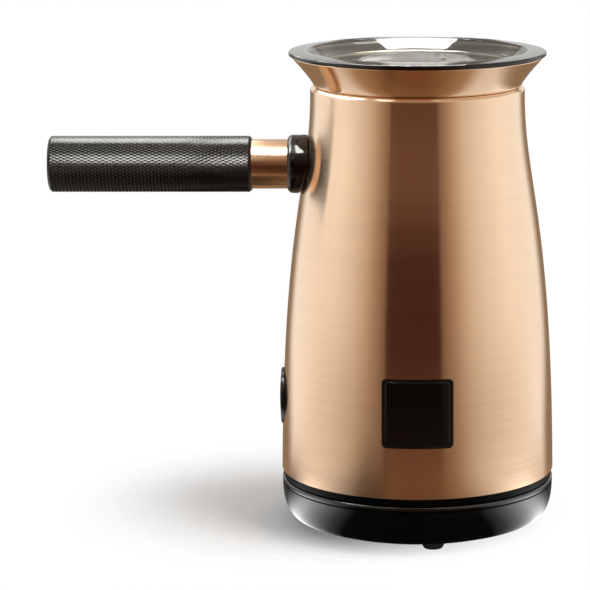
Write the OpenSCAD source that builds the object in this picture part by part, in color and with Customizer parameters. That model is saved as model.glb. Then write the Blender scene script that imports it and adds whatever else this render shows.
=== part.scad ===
// Cordless jug-type milk frother on a round power base.
// Frame: origin on the body axis at table level, +Z up, handle along -X, badge facing -Y.

/* [Metal shell] */
// Outer radius of the shell at its lower edge
shell_foot_r = 59.9; // [57:0.1:63]
// Outer radius of the shell just under the shoulder
shell_neck_r = 46.4; // [45:0.2:48]
// Height of the shell from its lower edge to the neck
shell_h = 169.2; // [155:0.2:185]
// Wall of the shell
shell_wall = 0.8; // [0.6:0.1:1.2]
// Rounding of the shoulder
shoulder_r = 2.2; // [1.8:0.1:2.6]
// Reach of the shell's lower curve handle, which keeps the lower body full
foot_pull = 115; // [85:1:125]
// Reach of the shell's upper curve handle, which straightens the neck
neck_pull = 41; // [26:1:50]
// Inward lean of the shell over its lower half
foot_lean = 1.4; // [0:0.1:2]

/* [Pouring collar and lid] */
// Height of the flared collar above the neck
collar_h = 13.1; // [11:0.1:15]
// How far the collar's lip flares out beyond the neck
collar_flare = 8; // [7:0.1:9.6]
// Wall of the collar at the neck
collar_wall = 1.2; // [1:0.1:1.6]
// Depth of the collar's skirt inside the neck
skirt_h = 5.4; // [4:0.1:7]
// How far the lid's edge overhangs the collar's lip
lid_overhang = 1.2; // [0.8:0.1:2]
// Thickness of the lid's edge
lid_edge_h = 2; // [1.6:0.1:2.6]
// Width of the lid's flat top ring
lid_ring_w = 8.8; // [7:0.1:10]
// Depth of the lid's dish below its ring
dish_depth = 5.9; // [4.5:0.1:6.4]
// Inward slope of the dish's wall, from its rim to its floor
dish_slope = 4.2; // [2:0.1:5]
// Wall of the lid
lid_wall = 1.6; // [1.4:0.1:2]
// Radius of the lid's vent hole
vent_r = 1.2; // [0.8:0.1:1.6]

/* [Vessel and whisk] */
// Depth of the milk vessel below the neck
vessel_depth = 100; // [92:1:108]
// Wall of the milk vessel
vessel_wall = 0.8; // [0.6:0.1:1]
// Radius of the whisk's spindle
spindle_r = 2; // [1.6:0.1:2.4]
// Height of the spindle above the vessel's floor
spindle_h = 9; // [8:0.5:11]
// Outer radius of the whisk
whisk_r = 21; // [18:0.5:24]
// Radius of the whisk's hub
whisk_hub_r = 9.5; // [9:0.1:11]
// Number of whisk blades
whisk_blades = 6; // [4:1:8]
// Height of the whisk's finger grip above its hub
whisk_grip_h = 11; // [8:0.5:14]

/* [Handle] */
// Distance of the handle's axis below the neck
handle_drop = 34.6; // [28:0.1:42]
// Radius of the knurled grip
grip_r = 12.25; // [12:0.05:13.5]
// Length of the knurled grip
grip_len = 88; // [75:0.2:100]
// Length of bare tube between grip and collar
tube_len = 15.5; // [12:0.1:22]
// Radius of the handle tube
tube_r = 10.75; // [10:0.05:11.2]
// Wall of the handle tube
tube_wall = 1.5; // [1.2:0.1:2]
// Radius of the black collar between tube and shell
mount_r = 12.7; // [12:0.05:14]
// How far the black collar stands out from the shell along the handle's axis
mount_len = 7.25; // [6:0.05:10]
// Radius of the long bolt through the handle
bolt_r = 2.5; // [2:0.1:3]

/* [Button and badge] */
// Height of the button's centre above the shell's lower edge
button_rise = 31.4; // [26:0.1:38]
// Radius of the button's bezel
bezel_r = 12.4; // [11.8:0.1:13]
// Radius of the button's cap
cap_r = 9.6; // [9:0.1:9.9]
// How far the bezel stands out of the shell
bezel_proud = 0.8; // [0.7:0.1:1.8]
// Height of the cap's dome above the bezel
cap_dome = 0.7; // [0.4:0.1:1]
// Travel of the button
button_travel = 1.2; // [0.8:0.1:1.5]
// Height of the badge's centre above the shell's lower edge
badge_rise = 37; // [30:0.1:42]
// Width of the badge's window
badge_w = 30.4; // [26:0.2:34]
// Height of the badge's window
badge_h = 29.8; // [26:0.2:34]
// Corner radius of the badge's window
badge_corner = 2; // [1.5:0.1:3]
// Width of the frame around the badge
badge_border = 1.2; // [1:0.1:1.8]

/* [Power base] */
// Height of the rubber feet under the base
foot_h = 3; // [2.4:0.1:4]
// Distance of the feet's centres in from the edge of the flat underside
foot_inset = 5.5; // [5:0.1:9]
// Number of feet on the circle; one more stands in the middle
foot_count = 4; // [3:1:5]
// Turn of the base about the body axis
base_turn = 9; // [0:1:30]
// How far the base is set in from the shell's lower edge
base_inset = 0.2; // [0:0.1:0.6]
// Height of the base's lower housing
housing_h = 16.7; // [15.5:0.1:20]
// Width of the slope between the flat underside and the base's side
under_slope = 11.2; // [9.5:0.1:12.5]
// Width of the bowl's curve between the sloped underside and the side
bowl_run = 6.5; // [5:0.1:9]
// Height of the curve's lower end above the flat underside
bowl_rise = 1.85; // [1:0.05:3]
// Fullness of the bowl's curve; 2 is a plain ellipse
bowl_full = 2.13; // [2:0.01:3]
// Wall of the base's housing
housing_wall = 2.2; // [2:0.1:2.6]
// Height of the top cover's visible rim
cover_rim_h = 2.2; // [2:0.1:3]
// Width of the visible seam between the housing and its cover
seam_gap = 0.5; // [0.3:0.1:0.8]
// Width of the cover's rim around the plateau that centres the jug
cover_rim_w = 13.7; // [12.5:0.1:15.5]
// Height of the plateau above the cover's rim
plateau_h = 4.4; // [3.5:0.1:5]
// Radius of the plug in the middle of the base
plug_r = 15.6; // [15:0.1:16.5]
// Height of the plug above the plateau
plug_h = 6.6; // [5.5:0.1:8]
// Radius of the cord's hole through the inlet bush
cord_hole_r = 2.8; // [2.4:0.1:3]

/* [Jug's lower end] */
// Visible gap between the base and the jug
jug_gap = 0.4; // [0.3:0.1:0.8]
// Height of the black ring under the shell
ring_h = 3.2; // [2.6:0.1:4]
// How far the black ring is set in from the shell
ring_inset = 0.6; // [0.3:0.1:1]
// Wall of the bottom plate
plate_wall = 2; // [1.8:0.1:2.4]
// Height of the stand-offs that carry the control board
standoff_h = 12; // [10:0.5:14]

/* [Drive] */
// Radius of the motor's can
motor_r = 14; // [12:0.5:15]
// Length of the motor's can
motor_len = 22; // [18:0.5:26]
// Radius of the motor's shaft
shaft_r = 1.25; // [1:0.05:1.5]
// Radius of the disc that carries the drive magnets
carrier_r = 12; // [10:0.5:12.5]
// Thickness of the disc that carries the drive magnets
carrier_h = 4.6; // [4:0.1:5.4]
// Radius of each magnet
magnet_r = 2.5; // [2:0.1:2.7]
// Thickness of the heater's aluminium plate
heat_plate_h = 3; // [2.5:0.1:4]
// Radius of the heater's tube
element_r = 3; // [2.5:0.1:3.4]

/* [Hidden] */
$fn = 96;

// Clearances
seat_gap = 0.2;      // between pieces that are pressed or clipped together
move_gap = 0.4;      // between pieces that move past each other
run_gap = 0.05;      // radial clearance of a running fit
eps = 0.01;          // overlap of cutting shapes
big = 400;           // reach of cutting shapes

// Colours
copper = [0.86, 0.66, 0.47];
dark_copper = [0.62, 0.42, 0.28];
black = [0.06, 0.06, 0.06];
soft_black = [0.12, 0.12, 0.12];
steel = [0.75, 0.76, 0.78];
brass = [0.85, 0.7, 0.35];
smoke = [0.45, 0.43, 0.38, 0.5];
board_green = [0.1, 0.35, 0.2];

// Heights of the stack above the table
housing_top = foot_h + housing_h;
cover_edge = housing_top + seam_gap;
cover_top = cover_edge + cover_rim_h;
plateau_top = cover_top + plateau_h;
plug_top = plateau_top + plug_h;
ring_bottom = cover_top + jug_gap;
shell_z = ring_bottom + ring_h;
neck_z = shell_z + shell_h;
lip_z = neck_z + collar_h;
lid_z = lip_z + seat_gap;
lid_top = lid_z + lid_edge_h;
dish_floor = lid_top - dish_depth;
floor_z = neck_z - vessel_depth;
seal_h = 1.4;
flange_z = neck_z - skirt_h - seal_h;
handle_z = neck_z - handle_drop;
button_z = shell_z + button_rise;
badge_z = shell_z + badge_rise;

// Radii of the base
base_r = shell_foot_r - base_inset;
under_r = base_r - under_slope;
foot_circle_r = under_r - foot_inset;
plateau_r = base_r - cover_rim_w;

// Neck and vessel radii
collar_lip_r = shell_neck_r + collar_flare;
neck_open_r = shell_neck_r - shoulder_r;
skirt_r = neck_open_r - seat_gap;
throat_r = skirt_r - collar_wall;
vessel_in_r = throat_r;
vessel_r = vessel_in_r + vessel_wall;
flange_r = shell_neck_r - shell_wall - seat_gap;
spindle_top = floor_z + spindle_h;

// Lid radii
lid_r = collar_lip_r + lid_overhang;
dish_top_r = lid_r - lid_ring_w;
dish_foot_r = dish_top_r - dish_slope;
plug_skirt_r = dish_foot_r + lid_wall + 0.6;
plug_skirt_t = 1.6;
plug_skirt_z = dish_floor - lid_wall - 2.6;
groove_r = plug_skirt_r - 0.8;
groove_z = plug_skirt_z + 0.7;
groove_h = 1.8;
vent_circle_r = dish_foot_r * 0.455;
vent_angle = 52.8;

// Shell curve: one cubic from the foot to the neck, then a quarter-round shoulder
shell_steps = 22;
shoulder_steps = 6;
function cubic(a, b, c, d, t) =
    a * pow(1 - t, 3) + 3 * b * t * pow(1 - t, 2) + 3 * c * t * t * (1 - t) + d * pow(t, 3);
function quadratic(a, b, c, t) = a * pow(1 - t, 2) + 2 * b * t * (1 - t) + c * t * t;
function arc(cr, cz, r, from, to, steps) =
    [for (i = [0:steps]) let (a = from + (to - from) * i / steps) [cr + r * cos(a), cz + r * sin(a)]];

shell_foot = [shell_foot_r, shell_z];
shell_low = [shell_foot_r - foot_lean, shell_z + foot_pull];
shell_high = [shell_neck_r, neck_z - shoulder_r - neck_pull];
shell_neck = [shell_neck_r, neck_z - shoulder_r];
shell_side = [for (i = [0:shell_steps]) cubic(shell_foot, shell_low, shell_high, shell_neck, i / shell_steps)];
shell_lookup = [for (p = shell_side) [p[1], p[0]]];
function shell_r(z) = lookup(z, shell_lookup);

// Outline of the body at a distance from the shell's outer face; negative is inside
function body_outline(off) = concat(
    [for (p = shell_side) [p[0] + off, p[1]]],
    [for (p = arc(neck_open_r, neck_z - shoulder_r, shoulder_r + off, 0, 90, shoulder_steps)) p]
);

// Funnel inside the collar, from the lip down to the throat
funnel_steps = 10;
lip_r = 0.7;
funnel = [for (i = [0:funnel_steps]) quadratic([collar_lip_r - 2 * lip_r, lip_z - lip_r],
    [throat_r + 2.4, neck_z + collar_h * 0.33], [throat_r, neck_z], i / funnel_steps)];
function funnel_r(z) = lookup(z, [for (i = [funnel_steps:-1:0]) [funnel[i][1], funnel[i][0]]]);

// Side of the base from its sloped underside up to the seam, at an inward distance
bowl_steps = 12;
bowl_low = foot_h + bowl_rise;
function bowl(off) = [for (i = [0:bowl_steps]) let (a = 80 * (1 - i / bowl_steps))
    [base_r - bowl_run + (bowl_run - off) * pow(cos(a), 2 / bowl_full),
     housing_top - (housing_top - bowl_low - off) * pow(sin(a), 2 / bowl_full)]];

// Places in the base
foot_top_r = 5.5;
foot_tip_r = 4;
foot_pocket_r = 4.2;
foot_pocket_h = 2;
screw_post_r = foot_circle_r - 7;
screw_start = -90 + 180 / foot_count;
inlet_r = 4.4;
inlet_z = foot_h + 10;
inlet_in = base_r - 8;
slot_out = 11.8;
slot_in = 6.6;
slot_w = 3;
slot_depth = 9;
pin_hole_r = 3;
contact_t = 0.5;
blade_t = 0.8;
flange_top = plateau_top - 2 - seat_gap;

// Places inside the jug
ring_r = shell_foot_r - ring_inset;
ring_in_r = ring_r - 2.6;
upstand_h = 5;
upstand_r = shell_r(shell_z + upstand_h) - shell_wall - seat_gap;
plate_r = ring_in_r - seat_gap;
recess_r = plateau_r + move_gap + 0.6;
ceiling_z = plateau_top + move_gap;
plate_top = ceiling_z + plate_wall;
socket_r = plug_r + move_gap + 0.8;
socket_top = plug_top + 1.6;
screw_circle_r = recess_r + plate_wall + 4;
plate_edge_z = cover_top + seat_gap;
plate_edge_top = plate_edge_z + plate_wall;
board_z = plate_top + standoff_h;
board_r = recess_r - 11;
board_h = 1.6;
board_hole_r = board_r - 15;
standoff_circle_r = board_r - 5;
heat_plate_top = floor_z - vessel_wall;
heat_plate_z = heat_plate_top - heat_plate_h;
heat_plate_r = vessel_r - 5;
heat_hole_r = carrier_r + 1.2;
carrier_gap = 1.2;
carrier_top = heat_plate_top - carrier_gap;
carrier_z = carrier_top - carrier_h;
bracket_t = 1.6;
bracket_z = carrier_z - 6;
bracket_w = 20;
element_circle_r = heat_plate_r - 9.6;
stud_r = 2;
stud_circle_r = element_circle_r - 7.5;
bracket_half = stud_circle_r + 4;
motor_top = bracket_z;
motor_z = motor_top - motor_len;
nose_r = 4;
nose_h = 3;
shaft_bore_r = shaft_r + run_gap;
heater_gap_mid = (heat_hole_r + element_circle_r - element_r) / 2;
cutout_r = (element_circle_r - element_r - heat_hole_r) / 2 - 0.4;
cutout_h = 8;
sensor_r = 2.5;
sensor_circle_r = heater_gap_mid - 0.6;
magnet_circle_r = 6;
magnet_h = 3;

// Places along the handle, as distances from the body axis
mount_reach = shell_r(handle_z) + mount_len;
grip_in = mount_reach + tube_len;
grip_tip = grip_in + grip_len;
tube_seat = 2;
spigot_len = 12;
grip_chamfer = 1.3;
mount_chamfer = 1.6;
bolt_head_r = 4.5;
bolt_head_h = 4;
end_cap_r = 7.5;
end_cap_h = 2;
saddle_t = 2;
saddle_half_w = 11;
saddle_half_h = 12;
spigot_r = 5.5;

// Places along the button, as distances from the body axis
button_face = shell_r(button_z) + bezel_proud;
barrel_r = bezel_r - 1.4;
barrel_in = button_face - 8;
nut_r = barrel_r + 2.6;
nut_t = 2;
nut_face = sqrt(pow(shell_r(button_z + nut_r) - shell_wall, 2) - pow(nut_r, 2)) - seat_gap;
cap_t = 2.6;
stem_r = 3;
plunger_r = 1.6;
switch_face = barrel_in - 3.5;
switch_t = 3.5;
switch_board_t = 1.6;
switch_board_w = 18;
switch_bracket_w = switch_board_w - 2;
switch_bracket_t = 2;
switch_back = switch_face - switch_t - button_travel - switch_board_t;

// ---------------------------------------------------------------- helpers
// Turns the upright of its children to point out along the handle, at a height
module outward(z) {
    translate([0, 0, z]) rotate([0, -90, 0]) children();
}

// Copies its children round the body axis
module around(count, r, start = 0) {
    for (i = [0:count - 1]) rotate(start + i * 360 / count) translate([r, 0, 0]) children();
}

// Copies its children to where the base has feet: on their circle, and in its middle
module foot_places() {
    around(foot_count, foot_circle_r, -90) children();
    children();
}

module disc(r, z0, z1) {
    translate([0, 0, z0]) cylinder(r = r, h = z1 - z0);
}

module ring(r_out, r_in, z0, z1) {
    difference() {
        disc(r_out, z0, z1);
        disc(r_in, z0 - 1, z1 + 1);
    }
}

// Pan-head screw whose head's underside is at z = 0 and whose shank goes up
module screw(r, len, head_r, head_h) {
    difference() {
        union() {
            translate([0, 0, -head_h]) cylinder(r = head_r, h = head_h, $fn = 32);
            translate([0, 0, -head_h * 0.2]) cylinder(r = r, h = len + head_h * 0.2, $fn = 32);
        }
        translate([0, 0, -head_h - 1]) cylinder(r = r * 0.9, h = head_h * 0.6 + 1, $fn = 6);
    }
}

// Flat outline with round corners
module round_rect(w, h, r, steps = 6) {
    corners = [[1, 1, 0], [-1, 1, 90], [-1, -1, 180], [1, -1, 270]];
    polygon([for (c = corners) for (i = [0:steps]) let (a = c[2] + 90 * i / steps)
        [c[0] * (w / 2 - r) + r * cos(a), c[1] * (h / 2 - r) + r * sin(a)]]);
}

// The body as a solid of revolution, at a distance from the shell's outer face
module body_solid(off = 0) {
    rotate_extrude() polygon(concat([[0, shell_z]], body_outline(off), [[0, neck_z + off]]));
}

// The body's wall between two distances from the shell's outer face
module body_wall(out, inn) {
    difference() {
        body_solid(out);
        rotate_extrude() polygon(concat([[0, shell_z - 1], [shell_foot_r + inn, shell_z - 1]],
            body_outline(inn), [[0, neck_z + inn]]));
    }
}

// A bar that cuts the front wall at the badge, in the outline of its window
module badge_bar(inset) {
    translate([0, -shell_foot_r / 2, badge_z]) rotate([90, 0, 0])
        linear_extrude(height = shell_foot_r)
            round_rect(badge_w - 2 * inset, badge_h - 2 * inset, max(0.6, badge_corner - inset * 0.5));
}

// ---------------------------------------------------------------- power base
module bowl_solid() {
    rotate_extrude() polygon(concat([[0, foot_h], [under_r, foot_h]], bowl(0), [[0, housing_top]]));
}

// Turns the upright of its children to point out of the base's rear
module inlet_axis() {
    translate([0, 0, inlet_z]) rotate([-90, 0, 0]) children();
}

module base_lower_housing() {
    color(black) rotate(base_turn) difference() {
        union() {
            difference() {
                bowl_solid();
                rotate_extrude() polygon(concat([[0, foot_h + housing_wall],
                    [under_r - 1, foot_h + housing_wall]], bowl(housing_wall),
                    [[base_r - housing_wall, big], [0, big]]));
            }
            intersection() {
                bowl_solid();
                inlet_axis() translate([0, 0, inlet_in]) cylinder(r = inlet_r + 2.4, h = 20);
            }
            around(foot_count, screw_post_r, screw_start) disc(4, foot_h + 1, cover_edge - 1);
            foot_places() disc(foot_pocket_r + 1.6, foot_h + 1, foot_h + 5);
        }
        around(foot_count, screw_post_r, screw_start) {
            disc(1.7, foot_h - 1, cover_edge);
            disc(3.4, foot_h - 1, foot_h + 3);
        }
        foot_places() disc(foot_pocket_r, foot_h - 1, foot_h + foot_pocket_h);
        inlet_axis() translate([0, 0, inlet_in - 3]) cylinder(r = inlet_r, h = 20);
    }
}

// Conical rubber feet with a stem that sits in the housing's pocket
module base_feet() {
    color(soft_black) rotate(base_turn) foot_places() {
        cylinder(r1 = foot_tip_r, r2 = foot_top_r, h = foot_h, $fn = 48);
        disc(foot_pocket_r - 0.1, foot_h - eps, foot_h + foot_pocket_h - 0.2, $fn = 48);
    }
}

// Bush in the housing's rear wall that the cord would pass through
module cord_inlet() {
    color(soft_black) rotate(base_turn) inlet_axis() difference() {
        union() {
            disc(inlet_r - 0.1, inlet_in - 1, base_r - 0.3);
            disc(inlet_r + 1.4, inlet_in - 2, inlet_in);
        }
        disc(cord_hole_r, inlet_in - 3, base_r + 1);
    }
}

module base_top_cover() {
    rim_round = 0.8;
    lip_r = base_r - housing_wall - seat_gap;
    color(black) rotate(base_turn) difference() {
        union() {
            rotate_extrude() polygon(concat(
                [[0, cover_edge], [base_r, cover_edge]],
                arc(base_r - rim_round, cover_top - rim_round, rim_round, 0, 90, 5),
                [[plateau_r, cover_top]],
                arc(plateau_r - 1, plateau_top - 1, 1, 0, 90, 5),
                [[0, plateau_top]]));
            difference() {
                ring(lip_r, lip_r - 1.6, cover_edge - 3, cover_edge + eps);
                translate([-inlet_r - 4, 0, cover_edge - 4]) cube([2 * inlet_r + 8, base_r, 4]);
            }
        }
        disc(plateau_r - 2, cover_edge - 1, plateau_top - 2);
        disc(plug_r + seat_gap, 0, plug_top);
        around(2, plug_r + 2.6) disc(0.95, flange_top, flange_top + 1.4);
        around(foot_count, screw_post_r, screw_start) disc(1.1, cover_edge, plateau_top - 1);
    }
    color(black) rotate(base_turn) around(foot_count, screw_post_r, screw_start)
        ring(3.4, 1.1, cover_edge - 0.8, plateau_top - 2 + eps);
}

module base_screws() {
    color(steel) rotate(base_turn) around(foot_count, screw_post_r, screw_start)
        translate([0, 0, foot_h + 3]) screw(1, plateau_top - foot_h - 6, 3, 2);
}

// Round plug with two ring slots and a centre hole, held under the plateau
module base_connector() {
    color(soft_black) rotate(base_turn) difference() {
        union() {
            disc(plug_r, flange_top - 8, plug_top);
            disc(plug_r + 5, flange_top - 2.4, flange_top);
        }
        ring(slot_out + slot_w / 2, slot_out - slot_w / 2, plug_top - slot_depth, plug_top + 1);
        ring(slot_in + slot_w / 2, slot_in - slot_w / 2, plug_top - slot_depth, plug_top + 1);
        disc(pin_hole_r, plug_top - slot_depth, plug_top + 1);
        around(2, plug_r + 2.6) disc(1.2, flange_top - 4, flange_top + 1);
    }
}

// Brass ring in each slot and a sleeve in the centre hole
module base_contacts() {
    z0 = plug_top - slot_depth;
    color(brass) {
        ring(slot_out + slot_w / 2 - 0.05, slot_out + slot_w / 2 - contact_t, z0, plug_top - 2);
        ring(slot_in + slot_w / 2 - 0.05, slot_in + slot_w / 2 - contact_t, z0, plug_top - 2);
        ring(pin_hole_r - 0.05, pin_hole_r - contact_t, z0, plug_top - 2);
    }
}

module base_connector_screws() {
    color(steel) rotate(base_turn) around(2, plug_r + 2.6)
        translate([0, 0, flange_top - 2.4]) screw(0.9, 3.6, 2, 1.4);
}

// ---------------------------------------------------------------- jug: shell and lower end
module outer_shell() {
    color(copper) difference() {
        body_wall(0, -shell_wall);
        disc(neck_open_r, neck_z - 3 * shoulder_r, neck_z + 1);
        outward(handle_z) cylinder(r = spigot_r + seat_gap, h = big);
        outward(button_z) cylinder(r = barrel_r + seat_gap, h = big);
        badge_bar(0);
    }
}

module jug_base_ring() {
    lug_z = plate_edge_top;
    color(black) difference() {
        union() {
            ring(ring_r, ring_in_r, ring_bottom, shell_z);
            ring(upstand_r, ring_in_r, shell_z - eps, shell_z + upstand_h);
            intersection() {
                around(3, screw_circle_r, 30) translate([0, 0, lug_z]) union() {
                    cylinder(r = 3.4, h = shell_z + upstand_h - lug_z);
                    translate([0, -3.4, 0]) cube([10, 6.8, shell_z + upstand_h - lug_z]);
                }
                disc(ring_in_r + 0.5, 0, big);
            }
        }
        around(3, screw_circle_r, 30) disc(1.1, lug_z - 1, shell_z + upstand_h - 1);
    }
}

// Bottom plate: outer foot, recess over the plateau, socket over the plug, posts for the board
module jug_bottom_plate() {
    color(soft_black) difference() {
        union() {
            ring(plate_r, recess_r, plate_edge_z, plate_edge_top);
            ring(recess_r + plate_wall, recess_r, plate_edge_z, plate_top);
            ring(recess_r + plate_wall, socket_r, ceiling_z, plate_top);
            ring(socket_r + plate_wall, socket_r, ceiling_z, socket_top + plate_wall);
            around(4, standoff_circle_r, 45) disc(3, plate_top - eps, board_z);
        }
        around(3, screw_circle_r, 30) disc(1.6, plate_edge_z - 1, plate_edge_top + 1);
        around(4, standoff_circle_r, 45) disc(1, plate_top, board_z + 1);
        around(3, screw_circle_r, 30) disc(2.9, plate_edge_z - 1, plate_edge_z + 1);
    }
}

module bottom_screws() {
    color(steel) around(3, screw_circle_r, 30)
        translate([0, 0, plate_edge_z + 1]) screw(1, shell_z + upstand_h - 2 - plate_edge_z - 1, 2.8, 0.9);
}

// Socket's top with the blades that enter the base's slots
module jug_connector() {
    color(black) difference() {
        union() {
            disc(socket_r + plate_wall, socket_top + plate_wall, socket_top + plate_wall + 2.4);
            disc(socket_r - seat_gap, socket_top, socket_top + plate_wall + eps);
        }
        disc(1.6, socket_top - 1, socket_top + plate_wall + 4);
    }
}

module jug_contacts() {
    z0 = plug_top - slot_depth + 2;
    color(brass) {
        ring(slot_out + blade_t / 2, slot_out - blade_t / 2, z0, socket_top);
        ring(slot_in + blade_t / 2, slot_in - blade_t / 2, z0, socket_top);
        disc(1.5, z0, socket_top + plate_wall + 2.4);
    }
}

module control_board() {
    color(board_green) difference() {
        ring(board_r, board_hole_r, board_z, board_z + board_h);
        around(4, standoff_circle_r, 45) disc(1.3, board_z - 1, board_z + board_h + 1);
    }
}

// Relay, capacitor, coil and connector on the control board
module board_parts() {
    top = board_z + board_h;
    part_in = board_hole_r + 1.5;
    can_r = 3.6;
    can_x = -board_r + 9;
    color(black) {
        translate([part_in, -8, top]) cube([11, 16, 9]);
        translate([-8, part_in, top]) cube([16, 9, 7]);
    }
    color(steel) {
        translate([can_x, 4, top]) cylinder(r = can_r, h = 11);
        translate([can_x, -5, top]) cylinder(r = can_r, h = 9);
    }
    color("white") translate([-6, -board_r + 5, top]) cube([12, 6, 6]);
}

module board_screws() {
    color(steel) around(4, standoff_circle_r, 45)
        translate([0, 0, board_z + board_h]) rotate([180, 0, 0]) screw(0.9, 7, 2.2, 1.6);
}

// ---------------------------------------------------------------- jug: collar and vessel
// Flared collar: skirt in the neck, curved funnel and a rounded lip
module pouring_collar() {
    steps = funnel_steps;
    out_low = [neck_open_r + 0.7, neck_z + seat_gap];
    out_mid = [out_low[0] + 1.2, neck_z + collar_h * 0.25];
    out_top = [collar_lip_r, lip_z - lip_r];
    color(copper) rotate_extrude() polygon(concat(
        [[throat_r, neck_z - skirt_h], [skirt_r, neck_z - skirt_h], [skirt_r, neck_z + seat_gap]],
        [for (i = [0:steps]) quadratic(out_low, out_mid, out_top, i / steps)],
        [for (a = [30:30:150]) [collar_lip_r - lip_r + lip_r * cos(a), lip_z - lip_r + lip_r * sin(a)]],
        funnel));
}

module vessel_seal() {
    color("dimgray") ring(skirt_r, throat_r + 0.3, flange_z, neck_z - skirt_h);
}

// Deep-drawn vessel with a flange under the collar and a dished corner at its floor
module inner_vessel() {
    corner = 6;
    steps = 5;
    color(steel) rotate_extrude() polygon(concat(
        [[0, heat_plate_top]],
        arc(vessel_r - corner, heat_plate_top + corner, corner, -90, 0, steps),
        [[vessel_r, flange_z - vessel_wall], [flange_r, flange_z - vessel_wall], [flange_r, flange_z],
         [vessel_in_r, flange_z]],
        arc(vessel_r - corner, heat_plate_top + corner, corner - vessel_wall, 0, -90, steps),
        [[0, floor_z]]));
}

module whisk_spindle() {
    color(steel) rotate_extrude() polygon(concat(
        [[0, floor_z], [spindle_r, floor_z]],
        arc(spindle_r - 1, spindle_top - 1, 1, 0, 90, 4),
        [[0, spindle_top]]));
}

// ---------------------------------------------------------------- jug: heater
module heat_plate() {
    color([0.7, 0.7, 0.72]) difference() {
        disc(heat_plate_r, heat_plate_z, heat_plate_top);
        disc(heat_hole_r, heat_plate_z - 1, heat_plate_top + 1);
        rotate(90) translate([sensor_circle_r, 0, 0]) disc(sensor_r + 0.1, heat_plate_z - 1, heat_plate_top + 1);
    }
    color([0.7, 0.7, 0.72]) around(2, stud_circle_r) disc(stud_r, bracket_z - 3, heat_plate_z + eps);
}

// Round heating tube that runs most of the way round under its plate
module heating_element() {
    color("gray") translate([0, 0, heat_plate_z - element_r]) {
        rotate(-70) rotate_extrude(angle = 320) translate([element_circle_r, 0]) circle(r = element_r, $fn = 32);
        for (a = [-70, 250]) rotate(a) translate([element_circle_r, 0, -8]) cylinder(r = element_r * 0.6, h = 8);
    }
}

module temperature_sensor() {
    color("white") rotate(90) translate([sensor_circle_r, 0, 0]) {
        disc(sensor_r, heat_plate_top - 5, heat_plate_top);
        disc(sensor_r * 0.5, heat_plate_top - 9, heat_plate_top - 5 + eps);
    }
}

module thermal_cutout() {
    color(soft_black) rotate(-90) translate([heater_gap_mid, 0, 0]) {
        disc(cutout_r, heat_plate_z - cutout_h, heat_plate_z);
        disc(cutout_r - 2, heat_plate_z - cutout_h - 3, heat_plate_z - cutout_h + eps);
    }
}

// ---------------------------------------------------------------- jug: motor
// Bar that hangs from the heater's two studs and carries the motor
module motor_bracket() {
    color(steel) difference() {
        translate([-bracket_half, -bracket_w / 2, bracket_z]) cube([2 * bracket_half, bracket_w, bracket_t]);
        disc(nose_r + 0.2, bracket_z - 1, bracket_z + bracket_t + 1);
        around(2, stud_circle_r) disc(stud_r + 0.1, bracket_z - 1, bracket_z + bracket_t + 1);
        around(2, 7.5, 90) disc(1.2, bracket_z - 1, bracket_z + bracket_t + 1);
    }
}

module motor_body() {
    color([0.55, 0.56, 0.58]) difference() {
        union() {
            disc(motor_r, motor_z, motor_top);
            disc(nose_r, motor_top - eps, motor_top + nose_h);
            disc(nose_r, motor_z - 2, motor_z + eps);
        }
        disc(shaft_bore_r, motor_top - 8, motor_top + nose_h + 1);
        around(2, 7.5, 90) disc(0.9, motor_top - 4, motor_top + 1);
    }
}

module motor_screws() {
    color(steel) around(2, 7.5, 90)
        translate([0, 0, bracket_z + bracket_t]) rotate([180, 0, 0]) screw(0.85, bracket_t + 3, 1.8, 1.4);
}

module bracket_nuts() {
    color(steel) around(2, stud_circle_r) difference() {
        union() {
            translate([0, 0, bracket_z - 2.4]) cylinder(r = 3.6, h = 2.4, $fn = 6);
            translate([0, 0, bracket_z + bracket_t]) cylinder(r = 3.6, h = 2.4, $fn = 6);
        }
        disc(stud_r + 0.05, bracket_z - 4, bracket_z + bracket_t + 4);
    }
}

module motor_shaft() {
    color(steel) disc(shaft_r, motor_top - 7, carrier_top - 0.6);
}

module magnet_carrier() {
    color(soft_black) difference() {
        union() {
            disc(carrier_r, carrier_z, carrier_top);
            disc(3.4, carrier_z - 1.6, carrier_z + eps);
        }
        disc(shaft_r + 0.02, carrier_z - 3, carrier_top - 0.6);
        around(4, magnet_circle_r) disc(magnet_r + 0.1, carrier_top - magnet_h - 0.2, carrier_top + 1);
    }
}

module drive_magnets() {
    color("silver") around(4, magnet_circle_r) disc(magnet_r, carrier_top - magnet_h - 0.1, carrier_top - 0.1);
}

// ---------------------------------------------------------------- whisk
// Magnet hub on the spindle, an outer ring, raked blades and a finger grip
module whisk_rotor() {
    hub_z = floor_z + move_gap;
    hub_top = spindle_top + 2;
    ring_z = hub_z + 0.6;
    color(soft_black) difference() {
        union() {
            disc(whisk_hub_r, hub_z, hub_top);
            translate([0, 0, hub_top - eps]) cylinder(r1 = 5, r2 = 3, h = whisk_grip_h - 3);
            disc(4, hub_top + whisk_grip_h - 3 - eps, hub_top + whisk_grip_h);
            ring(whisk_r, whisk_r - 2, ring_z, ring_z + 2.4);
            around(whisk_blades, 0) translate([whisk_hub_r - 1, 0, ring_z + 2]) rotate([28, 0, 0])
                translate([0, -0.8, -1.6]) cube([whisk_r - whisk_hub_r + 0.2, 1.6, 5]);
        }
        disc(spindle_r + run_gap, hub_z - 1, spindle_top + move_gap);
        around(4, magnet_circle_r) disc(magnet_r + 0.1, hub_z - 1, hub_z + magnet_h + 0.6);
    }
}

module whisk_magnets() {
    hub_z = floor_z + move_gap;
    color("silver") around(4, magnet_circle_r) disc(magnet_r, hub_z + 0.4, hub_z + magnet_h + 0.4);
}

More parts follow.
